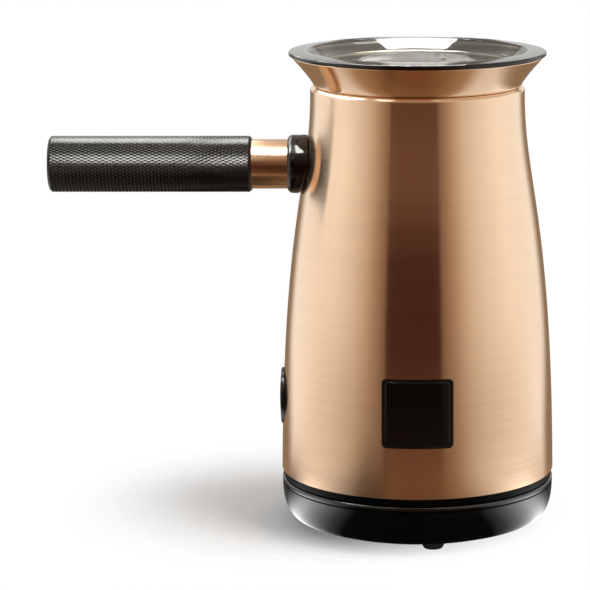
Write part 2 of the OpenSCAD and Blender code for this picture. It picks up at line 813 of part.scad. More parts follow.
// ---------------------------------------------------------------- lid
// Smoked dish with a flat ring that rests over the collar's lip
module lid_dish() {
    edge = 0.7;
    color(smoke) difference() {
        rotate_extrude() polygon(concat(
            [[0, dish_floor - lid_wall], [plug_skirt_r - plug_skirt_t, dish_floor - lid_wall],
             [plug_skirt_r - plug_skirt_t, plug_skirt_z], [plug_skirt_r - 0.4, plug_skirt_z],
             [plug_skirt_r, plug_skirt_z + 0.4], [plug_skirt_r, dish_floor - 0.2], [dish_top_r + lid_wall, lid_z - 0.6],
             [dish_top_r + lid_wall + 0.6, lid_z], [lid_r - 1.1, lid_z], [lid_r, lid_z + 0.8]],
            arc(lid_r - edge, lid_top - edge, edge, 0, 90, 4),
            arc(dish_top_r + edge, lid_top - edge, edge, 90, 180, 4),
            [[dish_foot_r, dish_floor + 0.9], [dish_foot_r - 1.2, dish_floor], [0, dish_floor]]));
        ring(plug_skirt_r + 2, groove_r, groove_z, groove_z + groove_h);
        rotate(vent_angle) translate([vent_circle_r, 0, dish_floor - lid_wall - 1]) cylinder(r = vent_r, h = lid_wall + 2, $fn = 32);
    }
}

// Soft ring in the skirt's groove, whose lip reaches the collar's funnel
module lid_seal() {
    lip_z0 = groove_z + groove_h / 2;
    reach = funnel_r(lip_z0 + 0.6) - seat_gap * 2;
    color("lightgray") rotate_extrude() polygon([
        [groove_r, groove_z + 0.1], [groove_r + 1, groove_z + 0.1], [reach - 0.3, lip_z0 + 0.2],
        [reach, lip_z0 + 0.6], [groove_r + 1, groove_z + groove_h - 0.1],
        [groove_r, groove_z + groove_h - 0.1]]);
}

// ---------------------------------------------------------------- badge
module badge_frame() {
    color(soft_black) {
        difference() {
            intersection() {
                body_wall(-0.5, -shell_wall - seat_gap - 2);
                badge_bar(seat_gap / 2);
            }
            badge_bar(badge_border);
        }
        difference() {
            intersection() {
                body_wall(-shell_wall - seat_gap, -shell_wall - seat_gap - 1.6);
                badge_bar(-2);
            }
            badge_bar(badge_border);
        }
    }
}

module front_badge() {
    color(black) intersection() {
        body_wall(-0.1, -shell_wall - seat_gap - 1.2);
        badge_bar(badge_border + 0.1);
    }
}

// ---------------------------------------------------------------- button
module button_bezel() {
    color(soft_black) {
        difference() {
            outward(button_z) difference() {
                union() {
                    translate([0, 0, button_face - bezel_r]) cylinder(r = bezel_r, h = bezel_r - 0.5);
                    translate([0, 0, button_face - 0.5 - eps]) cylinder(r1 = bezel_r, r2 = bezel_r - 0.5, h = 0.5);
                }
                translate([0, 0, 1]) cylinder(r = cap_r + move_gap, h = big);
            }
            body_solid(0.1);
        }
        difference() {
            outward(button_z) difference() {
                translate([0, 0, barrel_in]) cylinder(r = barrel_r, h = button_face - barrel_in - 0.3);
                translate([0, 0, barrel_in + 1.5]) cylinder(r = cap_r + move_gap, h = big);
                translate([0, 0, 1]) cylinder(r = stem_r + move_gap, h = big);
            }
        }
    }
}

module button_nut() {
    color(soft_black) outward(button_z) difference() {
        translate([0, 0, nut_face - nut_t]) cylinder(r = nut_r, h = nut_t);
        cylinder(r = barrel_r + 0.1, h = big);
    }
}

// Slightly domed cap on a stem that reaches the switch
module button_cap() {
    bulge = cap_dome - 0.1;
    sphere_r = (cap_r * cap_r + bulge * bulge) / (2 * bulge);
    color(black) outward(button_z) {
        intersection() {
            translate([0, 0, button_face - cap_t]) cylinder(r = cap_r, h = cap_t + 2);
            translate([0, 0, button_face + cap_dome - sphere_r]) sphere(r = sphere_r, $fn = 160);
        }
        translate([0, 0, switch_face]) cylinder(r = stem_r, h = button_face - cap_t - switch_face + eps);
    }
}

// Plunger of the switch, which the cap's stem pushes in
module switch_plunger() {
    color("white") outward(button_z) disc(plunger_r, switch_face - switch_t + 1, switch_face, $fn = 32);
}

module tact_switch() {
    color(soft_black) outward(button_z) difference() {
        translate([-3.1, -3.1, switch_face - switch_t - button_travel]) cube([6.2, 6.2, switch_t]);
        disc(plunger_r + 0.3, switch_face - switch_t - button_travel + 0.5, switch_face + 1, $fn = 32);
    }
}

module switch_board() {
    color(board_green) outward(button_z) 
        translate([-switch_board_w / 2, -switch_board_w / 2, switch_back])
            cube([switch_board_w, switch_board_w, switch_board_t]);
}

// Upright that carries the switch's board on the bottom plate
module switch_bracket() {
    upright_h = button_z + switch_board_w / 2 - plate_top;
    color(soft_black) translate([-switch_back, -switch_bracket_w / 2, plate_top]) {
        cube([switch_bracket_t, switch_bracket_w, upright_h]);
        cube([switch_board_w / 2, switch_bracket_w, switch_bracket_t]);
    }
}

// ---------------------------------------------------------------- handle
// Saddle plate inside the shell with a threaded spigot through the shell's hole
module handle_bracket() {
    color(steel) difference() {
        union() {
            intersection() {
                body_wall(-shell_wall - seat_gap, -shell_wall - seat_gap - saddle_t);
                outward(handle_z) translate([-saddle_half_h, -saddle_half_w, 0])
                    cube([2 * saddle_half_h, 2 * saddle_half_w, big]);
            }
            difference() {
                outward(handle_z) cylinder(r = spigot_r, h = mount_reach - 2.5);
                body_solid(-shell_wall - seat_gap - saddle_t / 2);
            }
        }
        outward(handle_z) cylinder(r = bolt_r, h = big);
    }
}

// Black collar whose inner end is cut to the curve of the shell
module handle_collar() {
    color(black) difference() {
        outward(handle_z) difference() {
            rotate_extrude() polygon([
                [0, 0], [mount_r, 0], [mount_r, mount_reach - mount_chamfer],
                [mount_r - mount_chamfer * 0.75, mount_reach], [0, mount_reach]]);
            translate([0, 0, mount_reach - tube_seat]) cylinder(r = tube_r + 0.05, h = 10);
            translate([0, 0, 1]) cylinder(r = bolt_r + 0.3, h = big);
            translate([0, 0, 1]) cylinder(r = spigot_r + seat_gap, h = mount_reach - 3.5);
        }
        body_solid(0.1);
    }
}

module handle_tube() {
    color(dark_copper) outward(handle_z)
        ring(tube_r, tube_r - tube_wall, mount_reach - tube_seat, grip_in + spigot_len);
}

// Sleeve of the grip: socket for the tube, core with a bolt hole, slightly domed tip
module handle_grip() {
    tip_round = 1.5;
    color(soft_black) outward(handle_z) difference() {
        rotate_extrude() polygon([
            [0, grip_in], [grip_r - grip_chamfer, grip_in], [grip_r, grip_in + grip_chamfer],
            [grip_r, grip_tip - tip_round], [grip_r - 0.45, grip_tip - 0.45 * tip_round],
            [grip_r - tip_round, grip_tip], [0, grip_tip]]);
        translate([0, 0, grip_in - 1]) cylinder(r = tube_r + 0.05, h = spigot_len + 1.2);
        translate([0, 0, grip_in]) cylinder(r = bolt_r + 0.3, h = grip_len + 1);
        translate([0, 0, grip_tip - end_cap_h - bolt_head_h - 0.4]) cylinder(r = bolt_head_r + 0.3, h = 20);
        translate([0, 0, grip_tip - end_cap_h]) cylinder(r = end_cap_r + 0.05, h = 10);
    }
}

module handle_bolt() {
    head_z = grip_tip - end_cap_h - 0.2;
    color(steel) outward(handle_z) difference() {
        union() {
            disc(bolt_r - 0.02, shell_r(handle_z) - shell_wall - saddle_t, head_z - bolt_head_h + eps);
            disc(bolt_head_r, head_z - bolt_head_h, head_z);
        }
        translate([0, 0, head_z - 2.5]) cylinder(r = 2.3, h = 5, $fn = 6);
    }
}

module handle_end_cap() {
    color(black) outward(handle_z) disc(end_cap_r, grip_tip - end_cap_h, grip_tip);
}

// ---------------------------------------------------------------- assembly
base_lower_housing();
base_top_cover();
base_feet();
base_connector();
base_contacts();
base_connector_screws();
base_screws();
cord_inlet();
outer_shell();
pouring_collar();
vessel_seal();
inner_vessel();
whisk_spindle();
jug_base_ring();
jug_bottom_plate();
bottom_screws();
jug_connector();
jug_contacts();
control_board();
board_parts();
board_screws();
heat_plate();
heating_element();
temperature_sensor();
thermal_cutout();
motor_bracket();
motor_body();
motor_screws();
bracket_nuts();
badge_frame();
front_badge();
button_bezel();
button_nut();
tact_switch();
switch_board();
switch_bracket();
handle_bracket();
handle_collar();
handle_tube();
handle_grip();
handle_bolt();
handle_end_cap();
motor_shaft();
magnet_carrier();
drive_magnets();
whisk_rotor();
whisk_magnets();
lid_dish();
lid_seal();
button_cap();
switch_plunger();
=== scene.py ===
"""Looks of a cordless milk frother that stands on its power base."""

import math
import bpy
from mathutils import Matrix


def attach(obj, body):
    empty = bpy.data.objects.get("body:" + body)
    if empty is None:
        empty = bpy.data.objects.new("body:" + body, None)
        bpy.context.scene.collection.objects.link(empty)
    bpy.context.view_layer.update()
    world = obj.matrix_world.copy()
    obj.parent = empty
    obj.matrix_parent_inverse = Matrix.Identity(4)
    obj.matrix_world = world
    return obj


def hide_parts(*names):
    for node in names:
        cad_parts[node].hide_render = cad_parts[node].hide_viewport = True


bl_info = {
    "name": "Milk Frother",
    "version": (1, 0, 0),
    "blender": (4, 5, 0),
    "location": "3D View > Sidebar > Frother",
    "description": "Builds the visible pieces of a milk frother round its packed frame",
    "category": "Object",
}

import bmesh
import bpy
from mathutils import Matrix, Vector

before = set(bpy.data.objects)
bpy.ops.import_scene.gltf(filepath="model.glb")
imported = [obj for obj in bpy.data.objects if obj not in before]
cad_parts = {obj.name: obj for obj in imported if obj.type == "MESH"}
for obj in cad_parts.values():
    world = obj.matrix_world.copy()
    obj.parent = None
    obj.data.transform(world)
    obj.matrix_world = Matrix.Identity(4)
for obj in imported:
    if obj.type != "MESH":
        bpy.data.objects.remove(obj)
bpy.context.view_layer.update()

MM = 0.001
FULL_TURN = 2 * math.pi
OUTWARD = (-1, 0, 0)

# Heights above the table, radii and sizes, in millimetres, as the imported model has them
SHELL_Z = 26.0
NECK_Z = 195.2
NECK_OPEN_R = 44.2
SHOULDER_R = 2.2
SHELL_WALL = 0.8
SHELL_CURVE = ((59.9, SHELL_Z), (58.5, 141.0), (46.4, 152.0), (46.4, NECK_Z - SHOULDER_R))
COLLAR_LIP_Z = 207.6
VESSEL_R = 42.8
VESSEL_FLOOR = 95.2
VESSEL_LEVELS = (172.0, 141.0)
LID_R = 55.6
LID_TOP = 210.5
DISH_FLOOR = 204.6
HANDLE_Z = 160.6
BUTTON_Z = 57.4
BADGE_Z = 63.0
BADGE_W = 30.2
BADGE_H = 29.6
BADGE_BORDER = 1.1
HOUSING_TOP = 19.7
COVER_TOP = 22.4
PLATEAU_TOP = 26.8
BASE_R = 59.7
BASE_TURN = math.radians(9)
FOOT_H = 3.0
FOOT_CIRCLE_R = 43
SCREW_CIRCLE_R = 36
# A point on the axis of the cord's hole, and the axis's direction
CORD = ((0, 0, 13.0), (-math.sin(BASE_TURN), math.cos(BASE_TURN), 0))
# Radius at which the brush lines have their stated length
BRUSH_R = 60.0


# ---------------------------------------------------------------- outlines
def curve(steps, *controls):
    """Points on a Bezier curve with (radius, height) control points."""
    degree = len(controls) - 1
    path = []
    for i in range(steps + 1):
        t = i / steps
        weights = [math.comb(degree, k) * (1 - t) ** (degree - k) * t ** k for k in range(degree + 1)]
        path.append(tuple(sum(w * p[axis] for w, p in zip(weights, controls)) for axis in (0, 1)))
    return path


def arc(r, z, radius, start, end, steps):
    """Points on an arc about (r, z), from one angle to another in degrees."""
    turn = [math.radians(start + (end - start) * i / steps) for i in range(steps + 1)]
    return [(r + radius * math.cos(a), z + radius * math.sin(a)) for a in turn]


def rounded(corners, steps=4):
    """An outline through (radius, height, cut) corners; each cut length is rounded off."""
    path = []
    count = len(corners)
    for i, corner in enumerate(corners):
        here = Vector(corner[:2])
        cut = corner[2] if len(corner) > 2 else 0
        if not cut:
            path.append(tuple(here))
            continue
        before = Vector(corners[i - 1][:2]) - here
        after = Vector(corners[(i + 1) % count][:2]) - here
        first = here + before.normalized() * min(cut, before.length * 0.49)
        last = here + after.normalized() * min(cut, after.length * 0.49)
        path += curve(steps, first, here, last)
    return path


SHELL_TABLE = curve(200, *SHELL_CURVE)


def shell_r(z):
    """Outer radius of the shell at a height, in millimetres."""
    if z <= SHELL_TABLE[0][1]:
        return SHELL_TABLE[0][0]
    for (r0, z0), (r1, z1) in zip(SHELL_TABLE, SHELL_TABLE[1:]):
        if z <= z1:
            return r0 + (r1 - r0) * (z - z0) / (z1 - z0)
    return SHELL_TABLE[-1][0]


def shell_side(off, steps):
    """The shell's outline from its foot to the neck hole, moved out by off."""
    side = [(r + off, z) for r, z in curve(steps, *SHELL_CURVE)]
    return side[:-1] + arc(NECK_OPEN_R, NECK_Z - SHOULDER_R, SHOULDER_R + off, 0, 90, 10)


def bowl_side(off):
    """The base housing's curved side, from its sloped underside up to the seam."""
    run, low, full, steps = 6.5, 4.85, 2 / 2.13, 28
    path = []
    for i in range(steps + 1):
        a = math.radians(80 * (1 - i / steps))
        path.append((BASE_R - run + (run - off) * math.cos(a) ** full,
                     HOUSING_TOP - (HOUSING_TOP - low - off) * math.sin(a) ** full))
    return path


def round_places(radius, count, start):
    """Points spaced evenly on a circle, from an angle in radians."""
    spots = [start + FULL_TURN * i / count for i in range(count)]
    return [(radius * math.cos(spot), radius * math.sin(spot), 0) for spot in spots]


# ---------------------------------------------------------------- meshes
def to_object(name, tool, material):
    """Puts a shape with its material into the scene."""
    mesh = bpy.data.meshes.new(name)
    tool.to_mesh(mesh)
    tool.free()
    mesh.materials.append(material)
    obj = bpy.data.objects.new(name, mesh)
    bpy.context.scene.collection.objects.link(obj)
    return obj


def piece(name, tool, body, kind, node, sharp=35):
    """Makes a piece that takes a node's place, gives it its finish and ties it to the frame."""
    obj = to_object(name, tool, finish(kind))
    for face in obj.data.polygons:
        face.use_smooth = True
    obj.data.set_sharp_from_angle(angle=math.radians(sharp))
    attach(obj, body)
    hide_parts(node)
    return obj


def tidied(tool):
    """Merges doubles and turns every face outwards."""
    bmesh.ops.remove_doubles(tool, verts=tool.verts, dist=0.002 * MM)
    bmesh.ops.dissolve_degenerate(tool, edges=tool.edges, dist=0.001 * MM)
    bmesh.ops.recalc_face_normals(tool, faces=tool.faces)
    return tool


def spun(outline, steps=192, axis=(0, 0, 1), centre=(0, 0, 0), across=(1, 0, 0), closed=True, into=None):
    """Spins an outline of (radius, distance along the axis) pairs, in millimetres."""
    tool = into or bmesh.new()
    along, out, middle = Vector(axis), Vector(across), Vector(centre) * MM
    verts = [tool.verts.new(middle + (out * r + along * h) * MM) for r, h in outline]
    pairs = list(zip(verts, verts[1:]))
    if closed:
        pairs.append((verts[-1], verts[0]))
    edges = [tool.edges.new(pair) for pair in pairs]
    bmesh.ops.spin(tool, geom=verts + edges, cent=middle, axis=along, angle=FULL_TURN,
                   steps=steps, use_merge=True)
    return tool if into else tidied(tool)


def spun_outward(outline, height, steps=160, closed=True):
    """Spins an outline about the axis that points along -X at a height."""
    return spun(outline, steps, OUTWARD, (0, 0, height), (0, 0, 1), closed)


def walked(rings, steps, height):
    """Extrudes a circle through a closed row of rings about the -X axis at a height.

    A ring is (radius, distance) or (radius, distance, True) where the distance is
    counted from the shell's surface at each point.
    """
    tool = bmesh.new()
    verts = bmesh.ops.create_circle(tool, segments=steps, radius=1.0, cap_ends=False,
                                    matrix=Matrix.Rotation(math.pi / 2, 4, "Y"))["verts"]
    edges = start = list(tool.edges)
    angles = {v: math.atan2(v.co.y, v.co.z) for v in verts}

    def place(vert, ring):
        radius, distance, *from_shell = ring
        side, up = radius * math.sin(angles[vert]), radius * math.cos(angles[vert])
        if from_shell:
            distance += math.sqrt(shell_r(height + up) ** 2 - side ** 2)
        vert.co = Vector((-distance, side, height + up)) * MM

    for vert in verts:
        place(vert, rings[0])
    for ring in rings[1:]:
        before = {tuple(v.co): angles[v] for v in verts}
        made = bmesh.ops.extrude_edge_only(tool, edges=edges)["geom"]
        verts = [g for g in made if isinstance(g, bmesh.types.BMVert)]
        fresh = set(verts)
        edges = [g for g in made if isinstance(g, bmesh.types.BMEdge) and set(g.verts) <= fresh]
        for vert in verts:
            angles[vert] = before[tuple(vert.co)]
            place(vert, ring)
    bmesh.ops.bridge_loops(tool, edges=start + edges)
    return tidied(tool)


def window_plate(width, height, corner, inner=0.0):
    """A flat plate with round corners in the XZ plane, or a frame if inner is given."""
    tool = bmesh.new()
    half_w, half_h = width / 2 * MM, height / 2 * MM
    corners = [tool.verts.new((x, 0, z)) for x, z in
               ((-half_w, -half_h), (half_w, -half_h), (half_w, half_h), (-half_w, half_h))]
    tool.faces.new(corners)
    softened(tool, corners, corner, 8, "VERTICES")
    if inner:
        bmesh.ops.inset_region(tool, faces=list(tool.faces), thickness=inner * MM,
                               use_boundary=True, use_even_offset=True)
        middle = min(tool.faces, key=lambda f: f.calc_center_median().length)
        bmesh.ops.delete(tool, geom=[middle], context="FACES")
    return tool


def softened(tool, geometry, offset, segments, affect="EDGES"):
    """Rounds edges or corners by an offset in millimetres."""
    bmesh.ops.bevel(tool, geom=geometry, offset=offset * MM, offset_type="OFFSET", affect=affect,
                    segments=segments, profile=0.5, material=-1, clamp_overlap=False)


def all_of(tool):
    """Every corner, edge and face of a shape."""
    return [*tool.verts, *tool.edges, *tool.faces]


def sliced(tool, normal, span=34, count=16):
    """Cuts every face with parallel planes so that the mesh can be curved."""
    for i in range(1, count):
        at = Vector(normal) * (-0.5 + i / count) * span * MM
        bmesh.ops.bisect_plane(tool, geom=all_of(tool), dist=0.0005 * MM, plane_co=at, plane_no=normal)


def extruded(tool):
    """Extrudes every face in place and returns the new corners."""
    made = bmesh.ops.extrude_face_region(tool, geom=list(tool.faces), use_keep_orig=True)["geom"]
    return [g for g in made if isinstance(g, bmesh.types.BMVert)]


def badge_piece(flat, depth, back, rim):
    """Thickens a flat plate, rounds its front rim and wraps it onto the shell's front."""
    sliced(flat, (1, 0, 0))
    sliced(flat, (0, 0, 1))
    front = set(extruded(flat))
    for vert in front:
        vert.co.y = -1.0 * MM
    bmesh.ops.recalc_face_normals(flat, faces=flat.faces)
    edges = [e for e in flat.edges if set(e.verts) <= front and len(e.link_faces) == 2
             and abs(e.link_faces[0].normal.dot(e.link_faces[1].normal)) < 0.5]
    softened(flat, edges, rim, 4)
    for vert in flat.verts:
        x, z = vert.co.x / MM, vert.co.z / MM + BADGE_Z
        behind = 1 + vert.co.y / MM
        inset = depth + behind if behind < 0.99 else back
        r = shell_r(z) - inset
        vert.co = Vector((x, -math.sqrt(r * r - x * x), z)) * MM
    return tidied(flat)


def cut(obj, *tools):
    """Takes the tools' shapes, which don't touch each other, out of an object."""
    mesh = bpy.data.meshes.new("cutter")
    whole = bmesh.new()
    for tool in tools:
        tool.to_mesh(mesh)
        whole.from_mesh(mesh)
        tool.free()
    whole.to_mesh(mesh)
    whole.free()
    cutter = bpy.data.objects.new("cutter", mesh)
    bpy.context.scene.collection.objects.link(cutter)
    step = obj.modifiers.new("cut", "BOOLEAN")
    step.operation = "DIFFERENCE"
    step.solver = "EXACT"
    step.object = cutter
    graph = bpy.context.evaluated_depsgraph_get()
    result = bpy.data.meshes.new_from_object(obj.evaluated_get(graph))
    obj.modifiers.clear()
    obj.data = result
    bpy.data.objects.remove(cutter)


def rod(radius, start, end, centre=(0, 0, 0), axis=(0, 0, 1), steps=64):
    """A plain round cutter along an axis."""
    across = Vector(axis).orthogonal().normalized()
    return spun([(0, start), (radius, start), (radius, end), (0, end)], steps, axis, centre,
                across, closed=False)


# ---------------------------------------------------------------- finishes
def solid(colour):
    """A plain colour with its alpha; a socket stays as it is."""
    return colour if isinstance(colour, bpy.types.NodeSocket) else (*colour, 1)


class NodeTree:
    """A tree that is put together node by node."""

    def __init__(self, tree):
        self.tree = tree

    def fill(self, node, values):
        """Sets inputs of a node, each to a value or to another node's output."""
        for socket, value in values.items():
            if isinstance(value, bpy.types.NodeSocket):
                self.tree.links.new(value, node.inputs[socket])
            else:
                node.inputs[socket].default_value = value

    def node(self, kind, values=None, **attributes):
        made = self.tree.nodes.new(kind)
        for attribute, value in attributes.items():
            setattr(made, attribute, value)
        self.fill(made, values or {})
        return made

    def maths(self, operation, first, second=0.0, third=0.0):
        values = {0: first, 1: second, 2: third}
        return self.node("ShaderNodeMath", values, operation=operation).outputs["Value"]

    def vector(self, operation, first, second=(0, 0, 0), output="Vector"):
        values = {0: first, 1: second}
        return self.node("ShaderNodeVectorMath", values, operation=operation).outputs[output]

    def spread(self, value, low, high, start=0.3, end=0.7, curve="LINEAR"):
        """Maps a pattern's usual range onto low to high."""
        values = {"Value": value, "From Min": start, "From Max": end, "To Min": low, "To Max": high}
        return self.node("ShaderNodeMapRange", values, interpolation_type=curve).outputs["Result"]

    def mixed(self, share, first, second):
        """Blends two colours, which are sockets or plain values."""
        mix = self.node("ShaderNodeMix", data_type="RGBA")
        places = [i for i, socket in enumerate(mix.inputs) if socket.enabled]
        self.fill(mix, dict(zip(places, (share, solid(first), solid(second)))))
        return next(socket for socket in mix.outputs if socket.enabled)


class Shader(NodeTree):
    """A material on the object's own coordinates."""

    def __init__(self, name):
        self.material = bpy.data.materials.new(name)
        self.material.use_nodes = True
        super().__init__(self.material.node_tree)
        self.place = self.node("ShaderNodeTexCoord").outputs["Object"]


class Finish(Shader):
    """A Principled material with a pattern in its colour, gloss and relief."""

    def __init__(self, name, colour, metallic, roughness, **sockets):
        super().__init__(name)
        self.colour = colour
        self.roughness = roughness
        self.surface = self.tree.nodes["Principled BSDF"]
        self.fill(self.surface, {"Base Color": solid(colour), "Metallic": metallic, "Roughness": roughness})
        self.fill(self.surface, {socket.replace("_", " "): value for socket, value in sockets.items()})

    def round_axis(self, axis):
        """Coordinates that only change with the turn about an axis and the distance along it."""
        middle, across, along = (0, 0, 0), (1, 1, 0), (0, 0, 1)
        if axis == "X":
            middle, across, along = (0, 0, -HANDLE_Z * MM), (0, 1, 1), (1, 0, 0)
        moved = self.vector("ADD", self.place, middle)
        turn = self.vector("NORMALIZE", self.vector("MULTIPLY", moved, across))
        ring = self.vector("MULTIPLY", turn, (BRUSH_R * MM,) * 3)
        return self.vector("ADD", ring, self.vector("MULTIPLY", moved, along))

    def noise(self, scale, detail, shift=(0, 0, 0), place=None):
        """Noise whose cells are 1 / scale metres along each axis."""
        if not isinstance(scale, tuple):
            scale = (scale,) * 3
        values = {"Vector": place or self.place, "Scale": scale, "Location": shift}
        values = {"Vector": self.node("ShaderNodeMapping", values).outputs["Vector"],
                  "Scale": 1.0, "Detail": detail}
        return self.node("ShaderNodeTexNoise", values).outputs["Fac"]

    def tint(self, value, low, high, start=0.3, end=0.7):
        """Colours the surface between low and high times its own colour."""
        tones = [tuple(min(1.0, c * times) for c in self.colour) for times in (low, high)]
        share = self.spread(value, 0.0, 1.0, start, end)
        self.fill(self.surface, {"Base Color": self.mixed(share, *tones)})

    def gloss(self, value, change):
        """Lets a pattern vary the roughness either way."""
        low, high = max(0.0, self.roughness - change), self.roughness + change
        self.fill(self.surface, {"Roughness": self.spread(value, low, high)})

    def bump(self, value, height, strength=1.0):
        """Raises the surface by height in millimetres where the pattern is 1."""
        values = {"Height": value, "Distance": height * MM, "Strength": strength}
        self.fill(self.surface, {"Normal": self.node("ShaderNodeBump", values).outputs["Normal"]})


def brushed(name, colour, roughness, axis="Z", anisotropic=0.7, depth=0.0006, tone=0.025):
    """Metal with fine brush lines that run round an axis."""
    finish = Finish(name, colour, 1.0, roughness, Anisotropic=anisotropic, Anisotropic_Rotation=0.25)
    ring = finish.node("ShaderNodeTangent", direction_type="RADIAL", axis=axis)
    finish.fill(finish.surface, {"Tangent": ring.outputs["Tangent"]})
    place = finish.round_axis(axis)
    along, across = 16, 1500
    scale = (along, along, across) if axis == "Z" else (across, along, along)
    lines = finish.noise(scale, 4.0, place=place)
    wide = finish.noise(tuple(s * 0.22 for s in scale), 2.0, (3.1, 1.7, 0.4), place)
    both = finish.maths("MULTIPLY", finish.maths("ADD", lines, wide), 0.5)
    finish.tint(both, 1 - tone, 1 + tone, 0.35, 0.65)
    finish.gloss(both, 0.02)
    finish.bump(lines, depth)
    return finish.material


def moulded(name, colour, roughness, grain, scale, change=0.06, **sockets):
    """Moulded plastic or rubber with a fine surface grain and slight wear in its gloss."""
    finish = Finish(name, colour, 0.0, roughness, **sockets)
    fine, broad = finish.noise(scale, 2.0), finish.noise(60, 4.0)
    finish.tint(broad, 0.88, 1.12)
    finish.gloss(broad, change)
    finish.bump(fine, grain)
    return finish.material


def polished(name, colour, roughness, **sockets):
    """Moulded plastic with a mirror's gloss."""
    return moulded(name, colour, roughness, 0.001, 900, 0.03, **sockets)


def plain_metal(name, colour, roughness, scale=400, depth=0.006):
    """Machined or stamped metal with faint marks."""
    finish = Finish(name, colour, 1.0, roughness)
    marks = finish.noise(scale, 5.0)
    finish.tint(marks, 0.85, 1.05)
    finish.gloss(marks, 0.08)
    finish.bump(marks, depth)
    return finish.material


def knurled_metal(name, colour, roughness):
    """Dark plated metal with slight wear."""
    finish = Finish(name, colour, 1.0, roughness)
    finish.tint(finish.noise(180, 4.0), 0.92, 1.08)
    finish.gloss(finish.noise(1200, 2.0), 0.04)
    return finish.material


def smoked(name, colour, roughness):
    """Clear smoked plastic with faint wipe marks."""
    finish = Finish(name, colour, 0.0, roughness, Transmission_Weight=0.93, IOR=1.49)
    finish.gloss(finish.noise((30, 160, 90), 4.0), 0.015)
    return finish.material


def circuit_board(name, colour, roughness):
    """Green solder mask with lighter tracks under it."""
    finish = Finish(name, colour, 0.0, roughness)
    cells = finish.node("ShaderNodeTexVoronoi", {"Vector": finish.place, "Scale": 260.0},
                        feature="DISTANCE_TO_EDGE").outputs["Distance"]
    finish.tint(cells, 2.2, 0.9, 0.02, 0.08)
    finish.bump(cells, 0.02, 0.4)
    return finish.material


def finish(kind):
    """The material for a finish, made once from the panel's colours."""
    key = "frother_" + kind
    if key in bpy.data.materials:
        return bpy.data.materials[key]
    tones = bpy.context.scene.frother_finish
    copper, black = tuple(tones.copper), tuple(tones.gloss_black)
    makers = {
        "copper": lambda: brushed(key, copper, 0.17, anisotropic=0.86, tone=0.02),
        "copper_collar": lambda: brushed(key, copper, 0.1, depth=0.0003, tone=0.015),
        "copper_tube": lambda: brushed(key, copper, 0.16, "X"),
        "gloss_black": lambda: polished(key, black, 0.1),
        "base_black": lambda: polished(key, black, 0.14, IOR=1.8),
        "collar_black": lambda: polished(key, black, 0.1, IOR=1.6),
        "smoke_rim": lambda: polished(key, tuple(1.5 * c for c in black), 0.12),
        "ring_black": lambda: moulded(key, black, 0.4, 0.002, 1800, Specular_IOR_Level=0.08),
        "badge_black": lambda: moulded(key, black, 0.07, 0.001, 700, 0.02),
        "satin_black": lambda: moulded(key, tuple(3 * c for c in black), 0.25, 0.003, 2200),
        "soft_black": lambda: moulded(key, (0.02, 0.02, 0.02), 0.48, 0.012, 2400),
        "inner_black": lambda: moulded(key, (0.026, 0.026, 0.028), 0.5, 0.012, 2400),
        "smoke": lambda: smoked(key, tuple(tones.smoke), 0.03),
        "rubber": lambda: moulded(key, (0.022, 0.022, 0.022), 0.62, 0.02, 1800, 0.08),
        "seal": lambda: moulded(key, (0.32, 0.31, 0.29), 0.45, 0.01, 1500, Subsurface_Weight=0.1),
        "steel": lambda: brushed(key, (0.78, 0.76, 0.71), 0.24, depth=0.002),
        "funnel_steel": lambda: brushed(key, (0.84, 0.8, 0.73), 0.16, depth=0.001),
        "fixing": lambda: plain_metal(key, (0.6, 0.6, 0.6), 0.32),
        "grip_metal": lambda: knurled_metal(key, tuple(tones.knurl), 0.22),
        "aluminium": lambda: plain_metal(key, (0.78, 0.78, 0.79), 0.4, 200, 0.01),
        "brass": lambda: plain_metal(key, (0.83, 0.6, 0.28), 0.28, 300),
        "board": lambda: circuit_board(key, (0.02, 0.11, 0.045), 0.35),
        "magnet": lambda: plain_metal(key, (0.72, 0.71, 0.69), 0.18, 500, 0.003),
        "white_plastic": lambda: moulded(key, (0.72, 0.71, 0.68), 0.4, 0.008, 2000),
    }
    return makers[kind]()


# ---------------------------------------------------------------- settings
def length(name, description, default, low, high):
    """A setting in metres."""
    return bpy.props.FloatProperty(name=name, description=description, default=default, min=low, max=high,
                                   precision=5, subtype="DISTANCE", unit="LENGTH")


def colour(name, description, default):
    """A setting for a plain colour."""
    return bpy.props.FloatVectorProperty(name=name, description=description, default=default,
                                         subtype="COLOR", size=3, min=0, max=1)


class FrotherSizes(bpy.types.PropertyGroup):
    """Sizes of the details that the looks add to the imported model."""

    knurl_pitch: length("Knurl pitch", "Distance between knurl crests round the grip",
                        0.00135, 0.0006, 0.003)
    knurl_row: length("Knurl row", "Distance between knurl crests along the grip", 0.00305, 0.0008, 0.006)
    knurl_depth: length("Knurl depth", "Depth of the knurl's valleys below its crests",
                        0.0003, 0.0001, 0.0008)
    badge_rim: length("Badge rounding", "Rounding of the badge plate's front edge", 0.0004, 0.0001, 0.0008)


class FrotherFinish(bpy.types.PropertyGroup):
    """Colours of the visible finishes."""

    copper: colour("Copper", "Colour of the brushed shell, the collar and the handle's tube",
                   (0.93, 0.67, 0.47))
    gloss_black: colour("Gloss black", "Colour of the glossy plastic", (0.0015, 0.0015, 0.0015))
    knurl: colour("Grip metal", "Colour of the knurled grip", (0.055, 0.055, 0.055))
    smoke: colour("Smoke", "Tint of the lid's plastic", (0.93, 0.9, 0.82))


